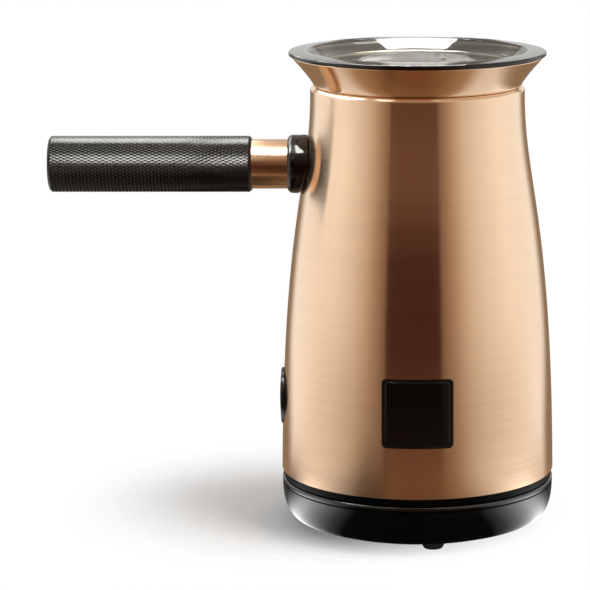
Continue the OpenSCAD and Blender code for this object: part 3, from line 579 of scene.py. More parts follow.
class FrotherStage(bpy.types.PropertyGroup):
    """The camera, the floor and the light round the frother."""

    focal_length: bpy.props.FloatProperty(
        name="Focal length", description="Focal length of the camera in millimetres",
        default=171.0, min=20, max=400)
    camera_distance: length("Camera distance", "How far the camera stands in front of the body axis",
                            1.205, 0.3, 5)
    tent_radius: length("Wall radius", "Radius of the studio walls that polished surfaces mirror",
                        2.0, 1.5, 6)
    card_distance: length("Card distance", "How far the dark front card stands from the body axis",
                          0.21, 0.18, 0.6)


# ---------------------------------------------------------------- pieces
class FrotherPiece:
    """What all piece operators share."""

    bl_options = {"REGISTER", "UNDO"}

    def second_finish(self, obj, kind, chosen):
        """Gives another finish to the faces that a rule on radius, height and inward tilt picks."""
        obj.data.materials.append(finish(kind))
        for face in obj.data.polygons:
            x, y, z = face.center / MM
            r = math.hypot(x, y)
            inward = -(face.normal.x * x + face.normal.y * y) / max(r, 0.01)
            if chosen(r, z, inward):
                face.material_index = len(obj.data.materials) - 1


class FROTHER_OT_shell(FrotherPiece, bpy.types.Operator):
    """Brushed metal shell with its holes for the badge, the button and the handle"""

    bl_idname = "frother.shell"
    bl_label = "Shell"

    def execute(self, context):
        outer, inner = shell_side(0, 72), shell_side(-SHELL_WALL, 72)
        foot_r = SHELL_CURVE[0][0]
        foot = [(foot_r - SHELL_WALL, SHELL_Z), (foot_r - 0.15, SHELL_Z), (foot_r - 0.04, SHELL_Z + 0.05),
                (foot_r, SHELL_Z + 0.16)]
        obj = piece("shell", spun(foot + outer[1:] + inner[:0:-1], 256), "jug", "copper",
                    "outer_shell")
        near, far, play = 30, 80, 0.2
        window = window_plate(BADGE_W + play, BADGE_H + play, 2)
        bmesh.ops.translate(window, verts=window.verts, vec=Vector((0, -45, BADGE_Z)) * MM)
        bmesh.ops.translate(window, verts=extruded(window), vec=Vector((0, -30, 0)) * MM)
        bmesh.ops.recalc_face_normals(window, faces=window.faces)
        button_hole = rod(11.2, near, far, (0, 0, BUTTON_Z), OUTWARD)
        handle_hole = rod(5.7, near, far, (0, 0, HANDLE_Z), OUTWARD)
        cut(obj, window, button_hole, handle_hole)
        self.smooth_round(obj.data)
        return {"FINISHED"}

    def smooth_round(self, mesh):
        """Gives the two curved faces the exact normals of their outline."""
        def outward(point):
            r, z = math.hypot(point.x, point.y) / MM, point.z / MM
            if z > NECK_Z - SHOULDER_R:
                slope = Vector((r - NECK_OPEN_R, z - NECK_Z + SHOULDER_R))
            else:
                slope = Vector((0.4, shell_r(z - 0.2) - shell_r(z + 0.2)))
                if z < SHELL_Z + 0.4:
                    slope = Vector((1, 0.012))
            slope.normalize()
            flat = Vector((point.x, point.y)).normalized()
            return Vector((flat.x * slope.x, flat.y * slope.x, slope.y))

        normals = [None] * len(mesh.loops)
        for face in mesh.polygons:
            for at in face.loop_indices:
                point = mesh.vertices[mesh.loops[at].vertex_index].co
                facing = face.normal.dot(outward(point))
                if abs(facing) > 0.9:
                    normals[at] = outward(point) * (1 if facing > 0 else -1)
                else:
                    normals[at] = face.normal.copy()
        for face in mesh.polygons:
            face.use_smooth = True
        mesh.normals_split_custom_set(normals)


class FROTHER_OT_collar(FrotherPiece, bpy.types.Operator):
    """Flared pouring collar with its rounded lip and its skirt"""

    bl_idname = "frother.collar"
    bl_label = "Pouring collar"

    def execute(self, context):
        skirt_z, skirt_r, seat_z = NECK_Z - 5.4, VESSEL_R + 1.2, NECK_Z + 0.2
        lip_r, lip_round = 53.7, 0.7
        outer = curve(40, (44.9, seat_z), (46.1, 198.475), (lip_r + lip_round, COLLAR_LIP_Z))
        lip = arc(lip_r, COLLAR_LIP_Z, lip_round, 0, 180, 14)
        funnel = curve(40, (lip_r - lip_round, COLLAR_LIP_Z), (45.2, 199.523), (VESSEL_R, NECK_Z))
        outline = [(VESSEL_R, skirt_z), (skirt_r, skirt_z), (skirt_r, seat_z)] + outer + lip[1:] + funnel[1:]
        obj = piece("pouring_collar_metal", spun(outline, 256), "jug", "copper_collar",
                    "pouring_collar", 40)
        self.second_finish(obj, "funnel_steel", lambda r, z, inward: inward > 0.2)
        return {"FINISHED"}


class FROTHER_OT_vessel(FrotherPiece, bpy.types.Operator):
    """Deep-drawn milk vessel with two pressed level lines, and the whisk's spindle"""

    bl_idname = "frother.vessel"
    bl_label = "Milk vessel"

    def execute(self, context):
        wall, corner, flange_r, flange_z, groove = 0.8, 5.2, 45.4, 188.4, 0.35
        middle_r, middle_z = VESSEL_R - corner, VESSEL_FLOOR + corner
        outside = [(0, VESSEL_FLOOR - wall)] + arc(middle_r, middle_z, corner + wall, -90, 0, 12)
        rim = rounded([(VESSEL_R + wall, flange_z - wall), (flange_r, flange_z - wall), (flange_r, flange_z),
                       (VESSEL_R, flange_z, 0.3)])
        levels = []
        for z in VESSEL_LEVELS:
            levels += [(VESSEL_R, z + 0.9), (VESSEL_R - groove, z + 0.45),
                       (VESSEL_R - groove, z - 0.45), (VESSEL_R, z - 0.9)]
        inside = arc(middle_r, middle_z, corner, 0, -90, 12) + [(0, VESSEL_FLOOR)]
        piece("milk_vessel", spun(outside + rim + levels + inside, 192, closed=False), "jug",
              "steel", "inner_vessel")
        pin_r, pin_top = 2, VESSEL_FLOOR + 9
        pin = [(0, VESSEL_FLOOR), (pin_r, VESSEL_FLOOR), *arc(pin_r - 1, pin_top - 1, 1, 0, 90, 6),
               (0, pin_top)]
        piece("spindle", spun(pin, 48, closed=False), "jug", "fixing", "whisk_spindle")
        return {"FINISHED"}


class FROTHER_OT_lid(FrotherPiece, bpy.types.Operator):
    """Smoked lid with its dish, vent, plug skirt and soft ring"""

    bl_idname = "frother.lid"
    bl_label = "Lid"

    def execute(self, context):
        floor_z, skirt_z, rim_z, groove_r, skirt_r = 203.0, 200.4, 208.5, 44.0, 44.8
        corner = 0.7
        top_z = LID_TOP - corner
        under = [(0, floor_z), *rounded([(43.2, floor_z, 0.5), (43.2, skirt_z), (skirt_r - 0.4, skirt_z, 0)])]
        skirt = [(skirt_r, skirt_z + 0.4), (skirt_r, skirt_z + 0.7), (groove_r, skirt_z + 0.7),
                 (groove_r, skirt_z + 2.5), (skirt_r, skirt_z + 2.5), (skirt_r, 204.4)]
        flare = [(48.4, rim_z - 0.6), (49.0, rim_z), (54.5, rim_z)]
        edge_r = LID_R - corner
        edge = arc(edge_r, rim_z + 0.65, 0.65, -60, 0, 6) + arc(edge_r, top_z, corner, 0, 90, 8)
        edge = [(min(r + 0.05, LID_R), z - (0.5 if z > top_z else 0.3)) for r, z in edge]
        dish = arc(47.5, top_z, corner, 90, 158, 8)
        dish += curve(8, (43.0, DISH_FLOOR + 1.5), (42.5, DISH_FLOOR), (41.0, DISH_FLOOR))
        outline = under + skirt + flare + edge + dish + [(0, DISH_FLOOR)]
        obj = piece("lid_shell", spun(outline, 256, closed=False), "lid", "smoke", "lid_dish", 30)
        vent = round_places(18.84, 1, math.radians(52.8))[0]
        cut(obj, rod(1.2, 200, 210, vent))
        self.second_finish(obj, "smoke_rim", lambda r, z, inward: r > 48.9 and (z < 208.8 or r > 55.2))
        ring = [(groove_r, 201.2), (45.0, 201.2), (46.3, 202.15), (46.55, 202.6), (45.0, 202.8),
                (groove_r, 202.8)]
        piece("lid_ring_seal", spun(ring, 192), "lid", "seal", "lid_seal", 60)
        return {"FINISHED"}


class FROTHER_OT_handle(FrotherPiece, bpy.types.Operator):
    """Saddle-cut collar, bare tube, knurled grip and end cap"""

    bl_idname = "frother.handle"
    bl_label = "Handle"

    reach = 56.3
    grip_in = 71.8
    grip_tip = 159.8
    tube_hole_r = 10.8

    def execute(self, context):
        face, seat = self.reach, self.reach - 2
        hole_r, seat_r, side_r, gap = 5.9, self.tube_hole_r, 12.7, 0.12
        rings = [(hole_r, gap, True), (11.9, gap, True), (12.3, 0.2, True), (12.6, 0.5, True),
                 (side_r, 0.95, True), (side_r, face - 1.9), (12.62, face - 1.5), (12.3, face - 0.9),
                 (11.7, face - 0.25), (11.3, face), (11.0, face), (seat_r, face - 0.15),
                 (seat_r, seat), (hole_r, seat)]
        piece("handle_saddle_collar", walked(rings, 160, HANDLE_Z), "jug", "collar_black",
              "handle_collar", 50)
        bore_r, tube_r, tube_end = 9.25, 10.75, self.grip_in + 12
        tube = [(bore_r, seat), (tube_r, seat), (tube_r, tube_end), (bore_r, tube_end)]
        piece("handle_bare_tube", spun_outward(tube, HANDLE_Z), "jug", "copper_tube", "handle_tube")
        self.grip(context.scene.frother_sizes)
        tip = self.grip_tip
        cap = [(0, tip - 2), (7.5, tip - 2), *arc(7.1, tip - 0.4, 0.4, 0, 90, 5), (0, tip)]
        piece("grip_end_disc", spun_outward(cap, HANDLE_Z, 96, closed=False), "jug",
              "satin_black", "handle_end_cap")
        return {"FINISHED"}

    def grip(self, sizes):
        """Spins the grip's outline, then pushes the knurl's valleys in."""
        crest, depth = 12.25, sizes.knurl_depth / MM
        foot, tip, hole_r, cap_r = self.grip_in, self.grip_tip, self.tube_hole_r, 7.55
        start, end = foot + 1.3, tip - 1.5
        rows = 2 * round((end - start) / (sizes.knurl_row / MM))
        around = 2 * round(FULL_TURN * crest / (sizes.knurl_pitch / MM))
        knurl = [(crest, start + (end - start) * i / rows) for i in range(rows + 1)]
        outline = [(0, foot + 12.2), (hole_r, foot + 12.2), (hole_r, foot), (11.1, foot), (11.6, foot + 0.45)]
        outline += knurl + [(11.9, tip - 0.8), (11.2, tip - 0.15), (10.7, tip), (cap_r + 0.15, tip),
                            (cap_r, tip - 0.1), (cap_r, tip - 2), (0, tip - 2)]
        tool = spun_outward(outline, HANDLE_Z, around, closed=False)
        valley = set()
        for vert in tool.verts:
            side, up = vert.co.y, vert.co.z - HANDLE_Z * MM
            r, along = math.hypot(side, up) / MM, -vert.co.x / MM
            if r < crest - 0.01 or along < start - 0.01:
                continue
            row = round((along - start) / (end - start) * rows)
            place = round(math.atan2(side, up) / FULL_TURN * around)
            if (row + place) % 2:
                low = (crest - depth) / r
                vert.co.y, vert.co.z = side * low, up * low + HANDLE_Z * MM
                valley.add(vert)
        for one in list(tool.faces):
            low = [v for v in one.verts if v in valley]
            if len(one.verts) == 4 and len(low) == 2:
                bmesh.utils.face_split(one, low[0], low[1])
        piece("knurled_grip", tool, "jug", "grip_metal", "handle_grip", 12)


class FROTHER_OT_badge(FrotherPiece, bpy.types.Operator):
    """Bare badge plate in its frame, both curved like the shell"""

    bl_idname = "frother.badge"
    bl_label = "Badge"

    def execute(self, context):
        rim = context.scene.frother_sizes.badge_rim / MM
        surround = badge_piece(window_plate(BADGE_W, BADGE_H, 1.9, BADGE_BORDER), 0.5, 3.0, 0.15)
        piece("badge_surround", surround, "jug", "satin_black", "badge_frame")
        less = 2 * (BADGE_BORDER + 0.1)
        plate = badge_piece(window_plate(BADGE_W - less, BADGE_H - less, 1.35), 0.1, 2.2, rim)
        piece("badge_plate", plate, "jug", "badge_black", "front_badge")
        return {"FINISHED"}


class FROTHER_OT_button(FrotherPiece, bpy.types.Operator):
    """Push button in its bezel"""

    bl_idname = "frother.button"
    bl_label = "Button"

    def execute(self, context):
        face, hole_r, barrel_r, side_r, well_r, gap = 59.97, 3.4, 11.0, 12.4, 10.0, 0.12
        back, well = face - 8, face - 6.5
        rings = [(hole_r, back), (barrel_r, back), (barrel_r, -0.4, True), (barrel_r, gap, True),
                 (12.3, gap, True), (side_r, 0.2, True), (side_r, face - 0.5), (12.3, face - 0.22),
                 (12.0, face), (10.3, face), (well_r + 0.05, face - 0.08), (well_r, face - 0.3),
                 (well_r, well), (hole_r, well)]
        piece("button_surround", walked(rings, 128, BUTTON_Z), "jug", "satin_black",
              "button_bezel")
        cap_r, dome, bulge, steps = 9.6, 0.7, 0.6, 12
        ball_r = (cap_r ** 2 + bulge ** 2) / (2 * bulge)
        middle = face + dome - ball_r
        radii = [(cap_r - 0.3) * (1 - i / steps) for i in range(steps + 1)]
        top = [(r, middle + math.sqrt(ball_r ** 2 - r * r)) for r in radii]
        stem_r, stem_end, under = 3, face - 11.45, face - 2.6
        cap = [(0, stem_end), (stem_r, stem_end), (stem_r, under), (cap_r, under), (cap_r, face - 0.15),
               (cap_r - 0.08, top[0][1] - 0.06), *top]
        piece("button_cap_domed", spun_outward(cap, BUTTON_Z, 96, closed=False), "power_button",
              "gloss_black", "button_cap", 50)
        return {"FINISHED"}


class FROTHER_OT_jug_foot(FrotherPiece, bpy.types.Operator):
    """Black ring under the shell with its lugs"""

    bl_idname = "frother.jug_foot"
    bl_label = "Jug's foot ring"

    def execute(self, context):
        inner_r, bottom, top = 56.7, 22.8, 31.0
        outline = rounded([(inner_r, bottom, 0.2), (59.3, bottom, 0.5), (59.3, SHELL_Z), (58.85, SHELL_Z),
                           (58.8, top, 0.3), (inner_r, top, 0.2)])
        tool = spun(outline, 256)
        size = Matrix.Diagonal((6.0 * MM, 6.8 * MM, 6.2 * MM, 1))
        at = Matrix.Translation(Vector((54.4, 0, 27.8)) * MM)
        for turn in (30, 150, 270):
            matrix = Matrix.Rotation(math.radians(turn), 4, "Z") @ at @ size
            lug = bmesh.ops.create_cube(tool, size=1.0, matrix=matrix)["verts"]
            softened(tool, list({e for v in lug for e in v.link_edges}), 0.5, 2)
        piece("jug_foot_ring", tool, "jug", "ring_black", "jug_base_ring")
        return {"FINISHED"}


class FROTHER_OT_base(FrotherPiece, bpy.types.Operator):
    """Power base: bowl, cover, feet and cord bush"""

    bl_idname = "frother.base"
    bl_label = "Power base"

    foot_places = round_places(FOOT_CIRCLE_R, 4, BASE_TURN - math.pi / 2) + [(0, 0, 0)]

    def execute(self, context):
        self.housing()
        self.cover()
        tool = bmesh.new()
        neck_r, top = 4.1, 4.8
        outline = rounded([(0, 0), (4.0, 0, 0.5), (5.5, FOOT_H), (neck_r, FOOT_H), (neck_r, top, 0.2),
                           (0, top)])
        for centre in self.foot_places:
            spun(outline, 48, centre=centre, closed=False, into=tool)
        piece("rubber_feet", tidied(tool), "power_base", "rubber", "base_feet")
        bore_r, neck_r, flange_r, start, shoulder, end = 2.8, 4.3, 5.8, 49.7, 51.7, 59.4
        bush = rounded([(bore_r, start - 1, 0.2), (flange_r, start), (flange_r, shoulder),
                        (neck_r, shoulder), (neck_r, end, 0.5), (bore_r, end, 0.6)])
        bush[0] = (bore_r, start)
        piece("cord_bush", spun(bush, 64, CORD[1], CORD[0], (0, 0, 1)), "power_base", "rubber",
              "cord_inlet")
        return {"FINISHED"}

    def housing(self):
        """Bowl with its holes for the feet, the screws and the cord."""
        wall = 2.2
        outer, inner = bowl_side(0), bowl_side(wall)
        outline = [(0, FOOT_H), *rounded([(46.5, FOOT_H), (48.5, FOOT_H, 0.8), outer[0]])[1:-1]]
        outline += outer + inner[::-1] + [(47.5, FOOT_H + wall), (0, FOOT_H + wall)]
        obj = piece("base_bowl", spun(outline, 256, closed=False), "power_base",
                    "base_black", "base_lower_housing")
        screws = round_places(SCREW_CIRCLE_R, 4, BASE_TURN - math.pi / 4)
        cut(obj, *(rod(4.2, 0, 5.0, place, steps=32) for place in self.foot_places),
            *(rod(3.4, 0, 4.9, place, steps=32) for place in screws), rod(4.4, 40, 80, *CORD, 48))

    def cover(self):
        """Cover with its rim, its tongue into the housing and its plateau."""
        hole_r, deck, tongue_end = 15.8, 20.2, 17.2
        outline = [(hole_r, PLATEAU_TOP - 2), (44.0, PLATEAU_TOP - 2), (44.0, deck), (55.7, deck),
                   (55.7, tongue_end), (57.3, tongue_end), (57.3, deck),
                   *rounded([(58.5, deck), (BASE_R, deck, 0.25), (BASE_R, 21.0)], 3)[1:],
                   *arc(BASE_R - 0.8, COVER_TOP - 0.8, 0.8, 0, 90, 8), (46.3, COVER_TOP),
                   (46.08, COVER_TOP + 0.1), (46.0, COVER_TOP + 0.3), *arc(45, PLATEAU_TOP - 1, 1, 0, 90, 8),
                   *rounded([(20, PLATEAU_TOP), (hole_r, PLATEAU_TOP, 0.4), (hole_r, 25)])[1:]]
        piece("base_cover", spun(outline, 256), "power_base", "base_black", "base_top_cover")


NODE_FINISHES = {
    "inner_black": ("base_connector", "jug_bottom_plate", "jug_connector", "button_nut", "tact_switch",
                    "switch_bracket", "magnet_carrier", "thermal_cutout", "board_parts"),
    "soft_black": ("whisk_rotor",),
    "brass": ("base_contacts", "jug_contacts"),
    "fixing": ("base_connector_screws", "base_screws", "bottom_screws", "board_screws", "motor_screws",
               "bracket_nuts", "handle_bolt", "handle_bracket", "motor_bracket", "motor_shaft",
               "motor_body", "heating_element"),
    "seal": ("vessel_seal",),
    "board": ("control_board", "switch_board"),
    "white_plastic": ("temperature_sensor", "switch_plunger"),
    "aluminium": ("heat_plate",),
    "magnet": ("drive_magnets", "whisk_magnets"),
}


class FROTHER_OT_inner_parts(FrotherPiece, bpy.types.Operator):
    """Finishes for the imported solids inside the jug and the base"""

    bl_idname = "frother.inner_parts"
    bl_label = "Inner parts"

    def execute(self, context):
        for kind, names in NODE_FINISHES.items():
            for name in names:
                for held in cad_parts[name].material_slots:
                    held.material = finish(kind)
        return {"FINISHED"}


# ---------------------------------------------------------------- stage
# Brightness of the studio walls against azimuth in degrees; 0 is behind the camera, + to its right
WALL_STOPS = (
    (-180, (1.0, 1.03, 1.04)), (-134, (1.0, 1.03, 1.04)), (-100, (0.97, 0.97, 0.96)),
    (-82, (0.93, 0.9, 0.88)), (-70, (0.84, 0.79, 0.74)), (-58, (0.73, 0.67, 0.6)),
    (-47, (0.57, 0.47, 0.38)), (-37, (0.36, 0.26, 0.18)), (-28, (0.2, 0.12, 0.08)),
    (-27, (0.06, 0.025, 0.018)), (20, (0.06, 0.025, 0.018)), (21, (0.2, 0.12, 0.08)),
    (30, (0.37, 0.25, 0.17)), (38, (0.52, 0.4, 0.32)), (48, (0.7, 0.62, 0.53)),
    (64, (0.84, 0.8, 0.76)), (88, (1.0, 1.0, 0.99)), (132, (1.0, 1.04, 1.04)), (180, (1.0, 1.03, 1.04)),
)
TABLE_STOPS = (
    (-180, (1.0, 1.03, 1.04)), (-124, (1.0, 1.06, 1.08)), (-107, (0.98, 0.98, 0.98)),
    (-93, (0.87, 0.83, 0.79)), (-81, (0.76, 0.71, 0.64)), (-66, (0.63, 0.57, 0.48)),
    (-52, (0.5, 0.42, 0.33)), (-39, (0.34, 0.255, 0.19)), (-26, (0.2, 0.13, 0.09)),
    (-25, (0.15, 0.075, 0.045)), (19.5, (0.15, 0.075, 0.045)), (20.5, (0.19, 0.12, 0.08)),
    (30, (0.29, 0.21, 0.14)), (39, (0.42, 0.34, 0.26)), (52, (0.57, 0.5, 0.41)),
    (70, (0.715, 0.66, 0.58)), (93, (0.88, 0.86, 0.81)), (113, (0.99, 1.04, 1.06)),
    (125, (1.0, 1.0, 1.0)), (180, (1.0, 1.03, 1.04)),
)
# Brightness of the table close to the frother against the distance to either side in millimetres
NEAR_STOPS = (
    (0, (0.19, 0.1, 0.05)), (60, (0.21, 0.12, 0.06)), (90, (0.28, 0.17, 0.09)),
    (118, (0.37, 0.25, 0.15)), (152, (0.73, 0.69, 0.65)), (240, (0.92, 0.91, 0.88)),
)
# Brightness of the table that only the power base mirrors against degrees from the front
BASE_STRENGTH = 4
BASE_STOPS = tuple((turn, (grey,) * 3) for turn, grey in (
    (0, 0.002), (40, 0.004), (50, 0.08), (60, 0.24), (70, 0.46), (80, 0.7), (88, 0.6), (95, 0.36),
    (103, 0.12), (112, 0.03), (180, 0.01)))
# Brightness of the card behind against the distance to either side in millimetres
BACK_STOPS = (
    (0, (1.0, 1.0, 1.0)), (33, (1.0, 1.0, 1.0)), (44, (0.14, 0.12, 0.1)), (82, (0.14, 0.12, 0.1)),
    (98, (0.85, 0.85, 0.83)), (1100, (0.9, 0.9, 0.9)),
)
# Brightness of the dark front card against height in millimetres
FRONT_STOPS = (
    (0, (0.15, 0.075, 0.045)), (22, (0.14, 0.07, 0.042)), (48, (0.075, 0.032, 0.022)),
    (66, (0.056, 0.02, 0.015)), (141, (0.056, 0.021, 0.015)), (154, (0.066, 0.027, 0.018)),
    (165, (0.092, 0.042, 0.026)), (175, (0.145, 0.073, 0.045)), (200, (0.16, 0.085, 0.05)),
    (253, (0.25, 0.15, 0.09)), (328, (0.39, 0.27, 0.19)), (446, (0.58, 0.48, 0.42)),
)
# Brightness of the large softbox against its distance behind the body axis in metres
SOFTBOX_STOPS = (
    (-0.85, (0.6, 0.5, 0.44)), (-0.6, (0.9, 0.85, 0.8)), (-0.5, (1, 1, 1)), (0.1, (1, 0.97, 0.92)),
    (0.35, (0.72, 0.62, 0.52)), (1.35, (0.6, 0.47, 0.33)),
)
# Bright cards above a detail: name, span across, span backwards, height, strength and how many
# mirrorings show it
DETAIL_LIGHTS = (
    ("collar_light", (-0.064, -0.04), (-0.085, -0.014), 0.262, 16, 1),
    ("grip_light", (-0.2, -0.08), (-0.06, 0), 0.262, 14, 1),
    ("grip_sheen", (-0.2, -0.08), (0, 0.14), 0.262, 4, 1),
    ("lid_light", (-0.036, 0.038), (-0.02, 0.06), 0.3, 26, 2),
)
CEILING = (0.62, 0.55, 0.46)
BEHIND = (0.27, 0.19, 0.12)
# Painted shade on the table under the grip, which the grip's lower side mirrors
PAINTED_GRIP_SHADE = (0.01, 0.008, 0.006)
# Painted contact shadow on the table under and round the power base, as polished surfaces see it
PAINTED_BASE_SHADE = (0.02, 0.014, 0.01)
# Span across, span backwards and height of the softboxes, in metres
SOFTBOX = ((-0.62, 0.62), (-0.85, 1.35), 1.62)
SOFTBOX_CORE = ((-0.5, 0.5), (-1.4, -0.45), 1.6)
KEY_LIGHT = (0.75, -0.35, 1.35)
FLOOR_R = 1.2
CAMERA_HEIGHT = 0.348
CAMERA_TILT = math.radians(78.48)
LENS_SHIFT = -0.2076


class Card(Shader):
    """A sheet of the stage, most of which glow and are seen by polished surfaces alone."""

    def __init__(self, name):
        super().__init__(name)
        self.tree.nodes.remove(self.tree.nodes["Principled BSDF"])
        self.material.cycles.emission_sampling = "NONE"
        self.x, self.y, self.height = self.node("ShaderNodeSeparateXYZ", {0: self.place}).outputs

    def azimuth(self):
        """Degrees round from behind the camera."""
        return self.maths("DEGREES", self.maths("ARCTAN2", self.x, self.maths("MULTIPLY", self.y, -1.0)))

    def distance(self, shift=(0, 0, 0)):
        """Distance from the middle of the table once the card is shifted."""
        return self.vector("LENGTH", self.vector("ADD", self.place, shift), output="Value")

    def eased(self, value, start, end, low=0.0, high=1.0):
        """Goes softly from low to high while the value goes from start to end."""
        return self.spread(value, low, high, start, end, "SMOOTHSTEP")

    def size(self, value, scale=1.0, shift=0.0):
        """The value times a scale plus a shift, without its sign."""
        return self.maths("ABSOLUTE", self.maths("MULTIPLY_ADD", value, scale, shift))

    def straight_behind(self, widening=1.0):
        """1 straight behind the frother, 0 in front of it and far enough to either side."""
        out = self.maths("SUBTRACT", self.size(self.x), 0.057)
        slope = self.maths("DIVIDE", out, self.maths("MAXIMUM", self.y, 0.001))
        side = self.eased(self.maths("MULTIPLY", slope, widening), 0.45, 1.0)
        aside = self.maths("MAXIMUM", side, self.maths("LESS_THAN", self.y, 0.0))
        return self.maths("SUBTRACT", 1.0, aside)

    def stops(self, value, table):
        """Looks a value up in a table of (value, colour) stops."""
        low, high = table[0][0], table[-1][0]
        ramp = self.node("ShaderNodeValToRGB", {"Fac": self.spread(value, 0.0, 1.0, low, high)})
        marks = ramp.color_ramp.elements
        marks[0].position, marks[1].position = 0.0, 1.0
        marks[0].color, marks[1].color = solid(table[0][1]), solid(table[-1][1])
        for at, tone in table[1:-1]:
            marks.new((at - low) / (high - low)).color = solid(tone)
        return ramp.outputs["Color"]

    def shown(self, shader):
        self.fill(self.tree.nodes["Material Output"], {"Surface": shader})
        return self.material

    def glow(self, tone, strength=1.0):
        return self.node("ShaderNodeEmission", {"Color": solid(tone), "Strength": strength}).outputs[0]

    def faded(self, clear, shader):
        """A shader that is see-through where clear is 1."""
        nothing = self.node("ShaderNodeBsdfTransparent").outputs[0]
        return self.shown(self.node("ShaderNodeMixShader", {0: clear, 1: shader, 2: nothing}).outputs[0])


class FROTHER_OT_stage(FrotherPiece, bpy.types.Operator):
    """Floor, studio walls and cards, light and camera"""

    bl_idname = "frother.stage"
    bl_label = "Stage"

    def execute(self, context):
        settings = context.scene.frother_stage
        radius = settings.tent_radius
        floor = self.round_sheet("floor", FLOOR_R, 0.0, self.floor_finish())
        floor.visible_glossy = False
        softbox, core = Card("softbox"), Card("softbox_core")
        sheen = softbox.shown(softbox.glow(softbox.stops(softbox.y, SOFTBOX_STOPS)))
        cards = [self.walls(radius), self.round_sheet("table_card", radius, -MM, self.table_finish()),
                 self.front_card(settings.card_distance), self.back_card(radius),
                 self.flat_card("softbox", *SOFTBOX, sheen),
                 self.flat_card("softbox_core", *SOFTBOX_CORE, core.shown(core.glow((1, 0.98, 0.95), 1.8)))]
        cards += [self.light_card(*light) for light in DETAIL_LIGHTS]
        for card in cards:
            card.visible_camera = False
            card.visible_diffuse = False
            card.visible_shadow = False
            card.visible_transmission = card.name.startswith(("walls", "softbox"))
        self.world()
        self.lamp(KEY_LIGHT)
        self.camera(settings)
        return {"FINISHED"}

    def round_sheet(self, name, radius, z, material):
        tool = bmesh.new()
        bmesh.ops.create_circle(tool, cap_ends=True, segments=64, radius=radius,
                                matrix=Matrix.Translation((0, 0, z)))
        return to_object(name, tool, material)

    def flat_card(self, name, across, deep, z, material):
        """A level card between two places across and two places backwards."""
        tool = bmesh.new()
        middle = Matrix.Translation((sum(across) / 2, sum(deep) / 2, z))
        size = Matrix.Diagonal(((across[1] - across[0]) / 2, (deep[1] - deep[0]) / 2, 1, 1))
        bmesh.ops.create_grid(tool, x_segments=1, y_segments=1, size=1.0, matrix=middle @ size)
        return to_object(name, tool, material)

    def light_card(self, name, across, deep, z, strength, mirrorings):
        """A small bright card, which is clear in further mirror images."""
        card = Card(name)
        depth = card.node("ShaderNodeLightPath").outputs["Glossy Depth"]
        clear = card.maths("GREATER_THAN", depth, mirrorings + 0.5)
        return self.flat_card(name, across, deep, z, card.faded(clear, card.glow((1, 0.98, 0.93), strength)))

    def walls(self, radius):
        """A dome whose lower part is the studio's walls and whose top is its ceiling."""
        tool = bmesh.new()
        bmesh.ops.create_uvsphere(tool, u_segments=96, v_segments=48, radius=radius)
        bmesh.ops.bisect_plane(tool, geom=all_of(tool), plane_co=(0, 0, 0), plane_no=(0, 0, -1),
                               clear_outer=True)
        card = Card("walls")
        up = card.eased(card.height, 0.3 * radius, 0.66 * radius)
        wall = card.mixed(card.straight_behind(), card.stops(card.azimuth(), WALL_STOPS), BEHIND)
        return to_object("walls", tool, card.shown(card.glow(card.mixed(up, wall, CEILING))))

    def table_finish(self):
        """What polished surfaces see of the table, as layers of (share, colour) on its own colour."""
        card = Card("table_card")
        azimuth, far = card.azimuth(), card.distance()
        ray = card.node("ShaderNodeLightPath").outputs["Ray Length"]
        base_share = card.eased(ray, 0.085, 0.115, 1.0, 0.0)
        layers = (
            (card.eased(far, 0.5, 1.0), card.stops(azimuth, WALL_STOPS)),
            (card.eased(far, 0.2, 0.25, 1.0, 0.0), card.stops(card.size(card.x, 1000.0, 12.0), NEAR_STOPS)),
            (card.straight_behind(card.spread(far, 0.65, 1.0, 0.25, 0.5)), BEHIND),
            # painted shade under the grip
            (self.painted_grip_shade(card, ray), PAINTED_GRIP_SHADE),
            # painted contact shadow round the base
            (card.eased(far, 0.05, 0.085, 0.75, 0.0), PAINTED_BASE_SHADE),
            (base_share, card.stops(card.size(azimuth), BASE_STOPS)),
        )
        tone = card.stops(azimuth, TABLE_STOPS)
        for share, over in layers:
            tone = card.mixed(share, tone, over)
        strength = card.maths("MULTIPLY_ADD", base_share, BASE_STRENGTH - 1.0, 1.0)
        return card.shown(card.glow(tone, strength))

    def painted_grip_shade(self, card, ray):
        """Share of the painted shade on the table under the grip, which only the grip's lower side mirrors.
        """
        side = card.eased(card.size(card.x, 1.0, 0.11), 0.032, 0.052, 0.85, 0.0)
        deep = card.eased(card.size(card.y, 1.0, 0.07), 0.1, 0.15, 1.0, 0.0)
        near = card.spread(ray, 1.0, 0.0, 0.195, 0.215)
        return card.maths("MULTIPLY", card.maths("MULTIPLY", side, deep), near)

    def front_card(self, distance):
        """A curved dark card in front, between the left and right edges of the shell's dark band."""
        height, start, span = 0.45, -23.3, 40.6
        tool = bmesh.new()
        foot = [tool.verts.new((0, -distance, z)) for z in (0.0, height)]
        edge = tool.edges.new(foot)
        turn = Matrix.Rotation(math.radians(start), 3, "Z")
        bmesh.ops.rotate(tool, verts=foot, cent=(0, 0, 0), matrix=turn)
        bmesh.ops.spin(tool, geom=foot + [edge], cent=(0, 0, 0), axis=(0, 0, 1),
                       angle=math.radians(span), steps=24, use_merge=False)
        card = Card("front_card")
        tone = card.stops(card.maths("MULTIPLY", card.height, 1000.0), FRONT_STOPS)
        return to_object("front_card", tool, card.shown(card.glow(tone)))

    def back_card(self, radius):
        """Behind the frother, above the table's far edge: white with two dark strips."""
        tool = bmesh.new()
        size = Matrix.Diagonal((1.1, 0.3, 1, 1))
        at = Matrix.Translation((0, 0.84 * radius, 0.42)) @ Matrix.Rotation(math.pi / 2, 4, "X")
        bmesh.ops.create_grid(tool, x_segments=1, y_segments=1, size=1.0, matrix=at @ size)
        card = Card("back_card")
        tone = card.stops(card.size(card.x, 1000.0), BACK_STOPS)
        return to_object("back_card", tool, card.shown(card.glow(tone)))

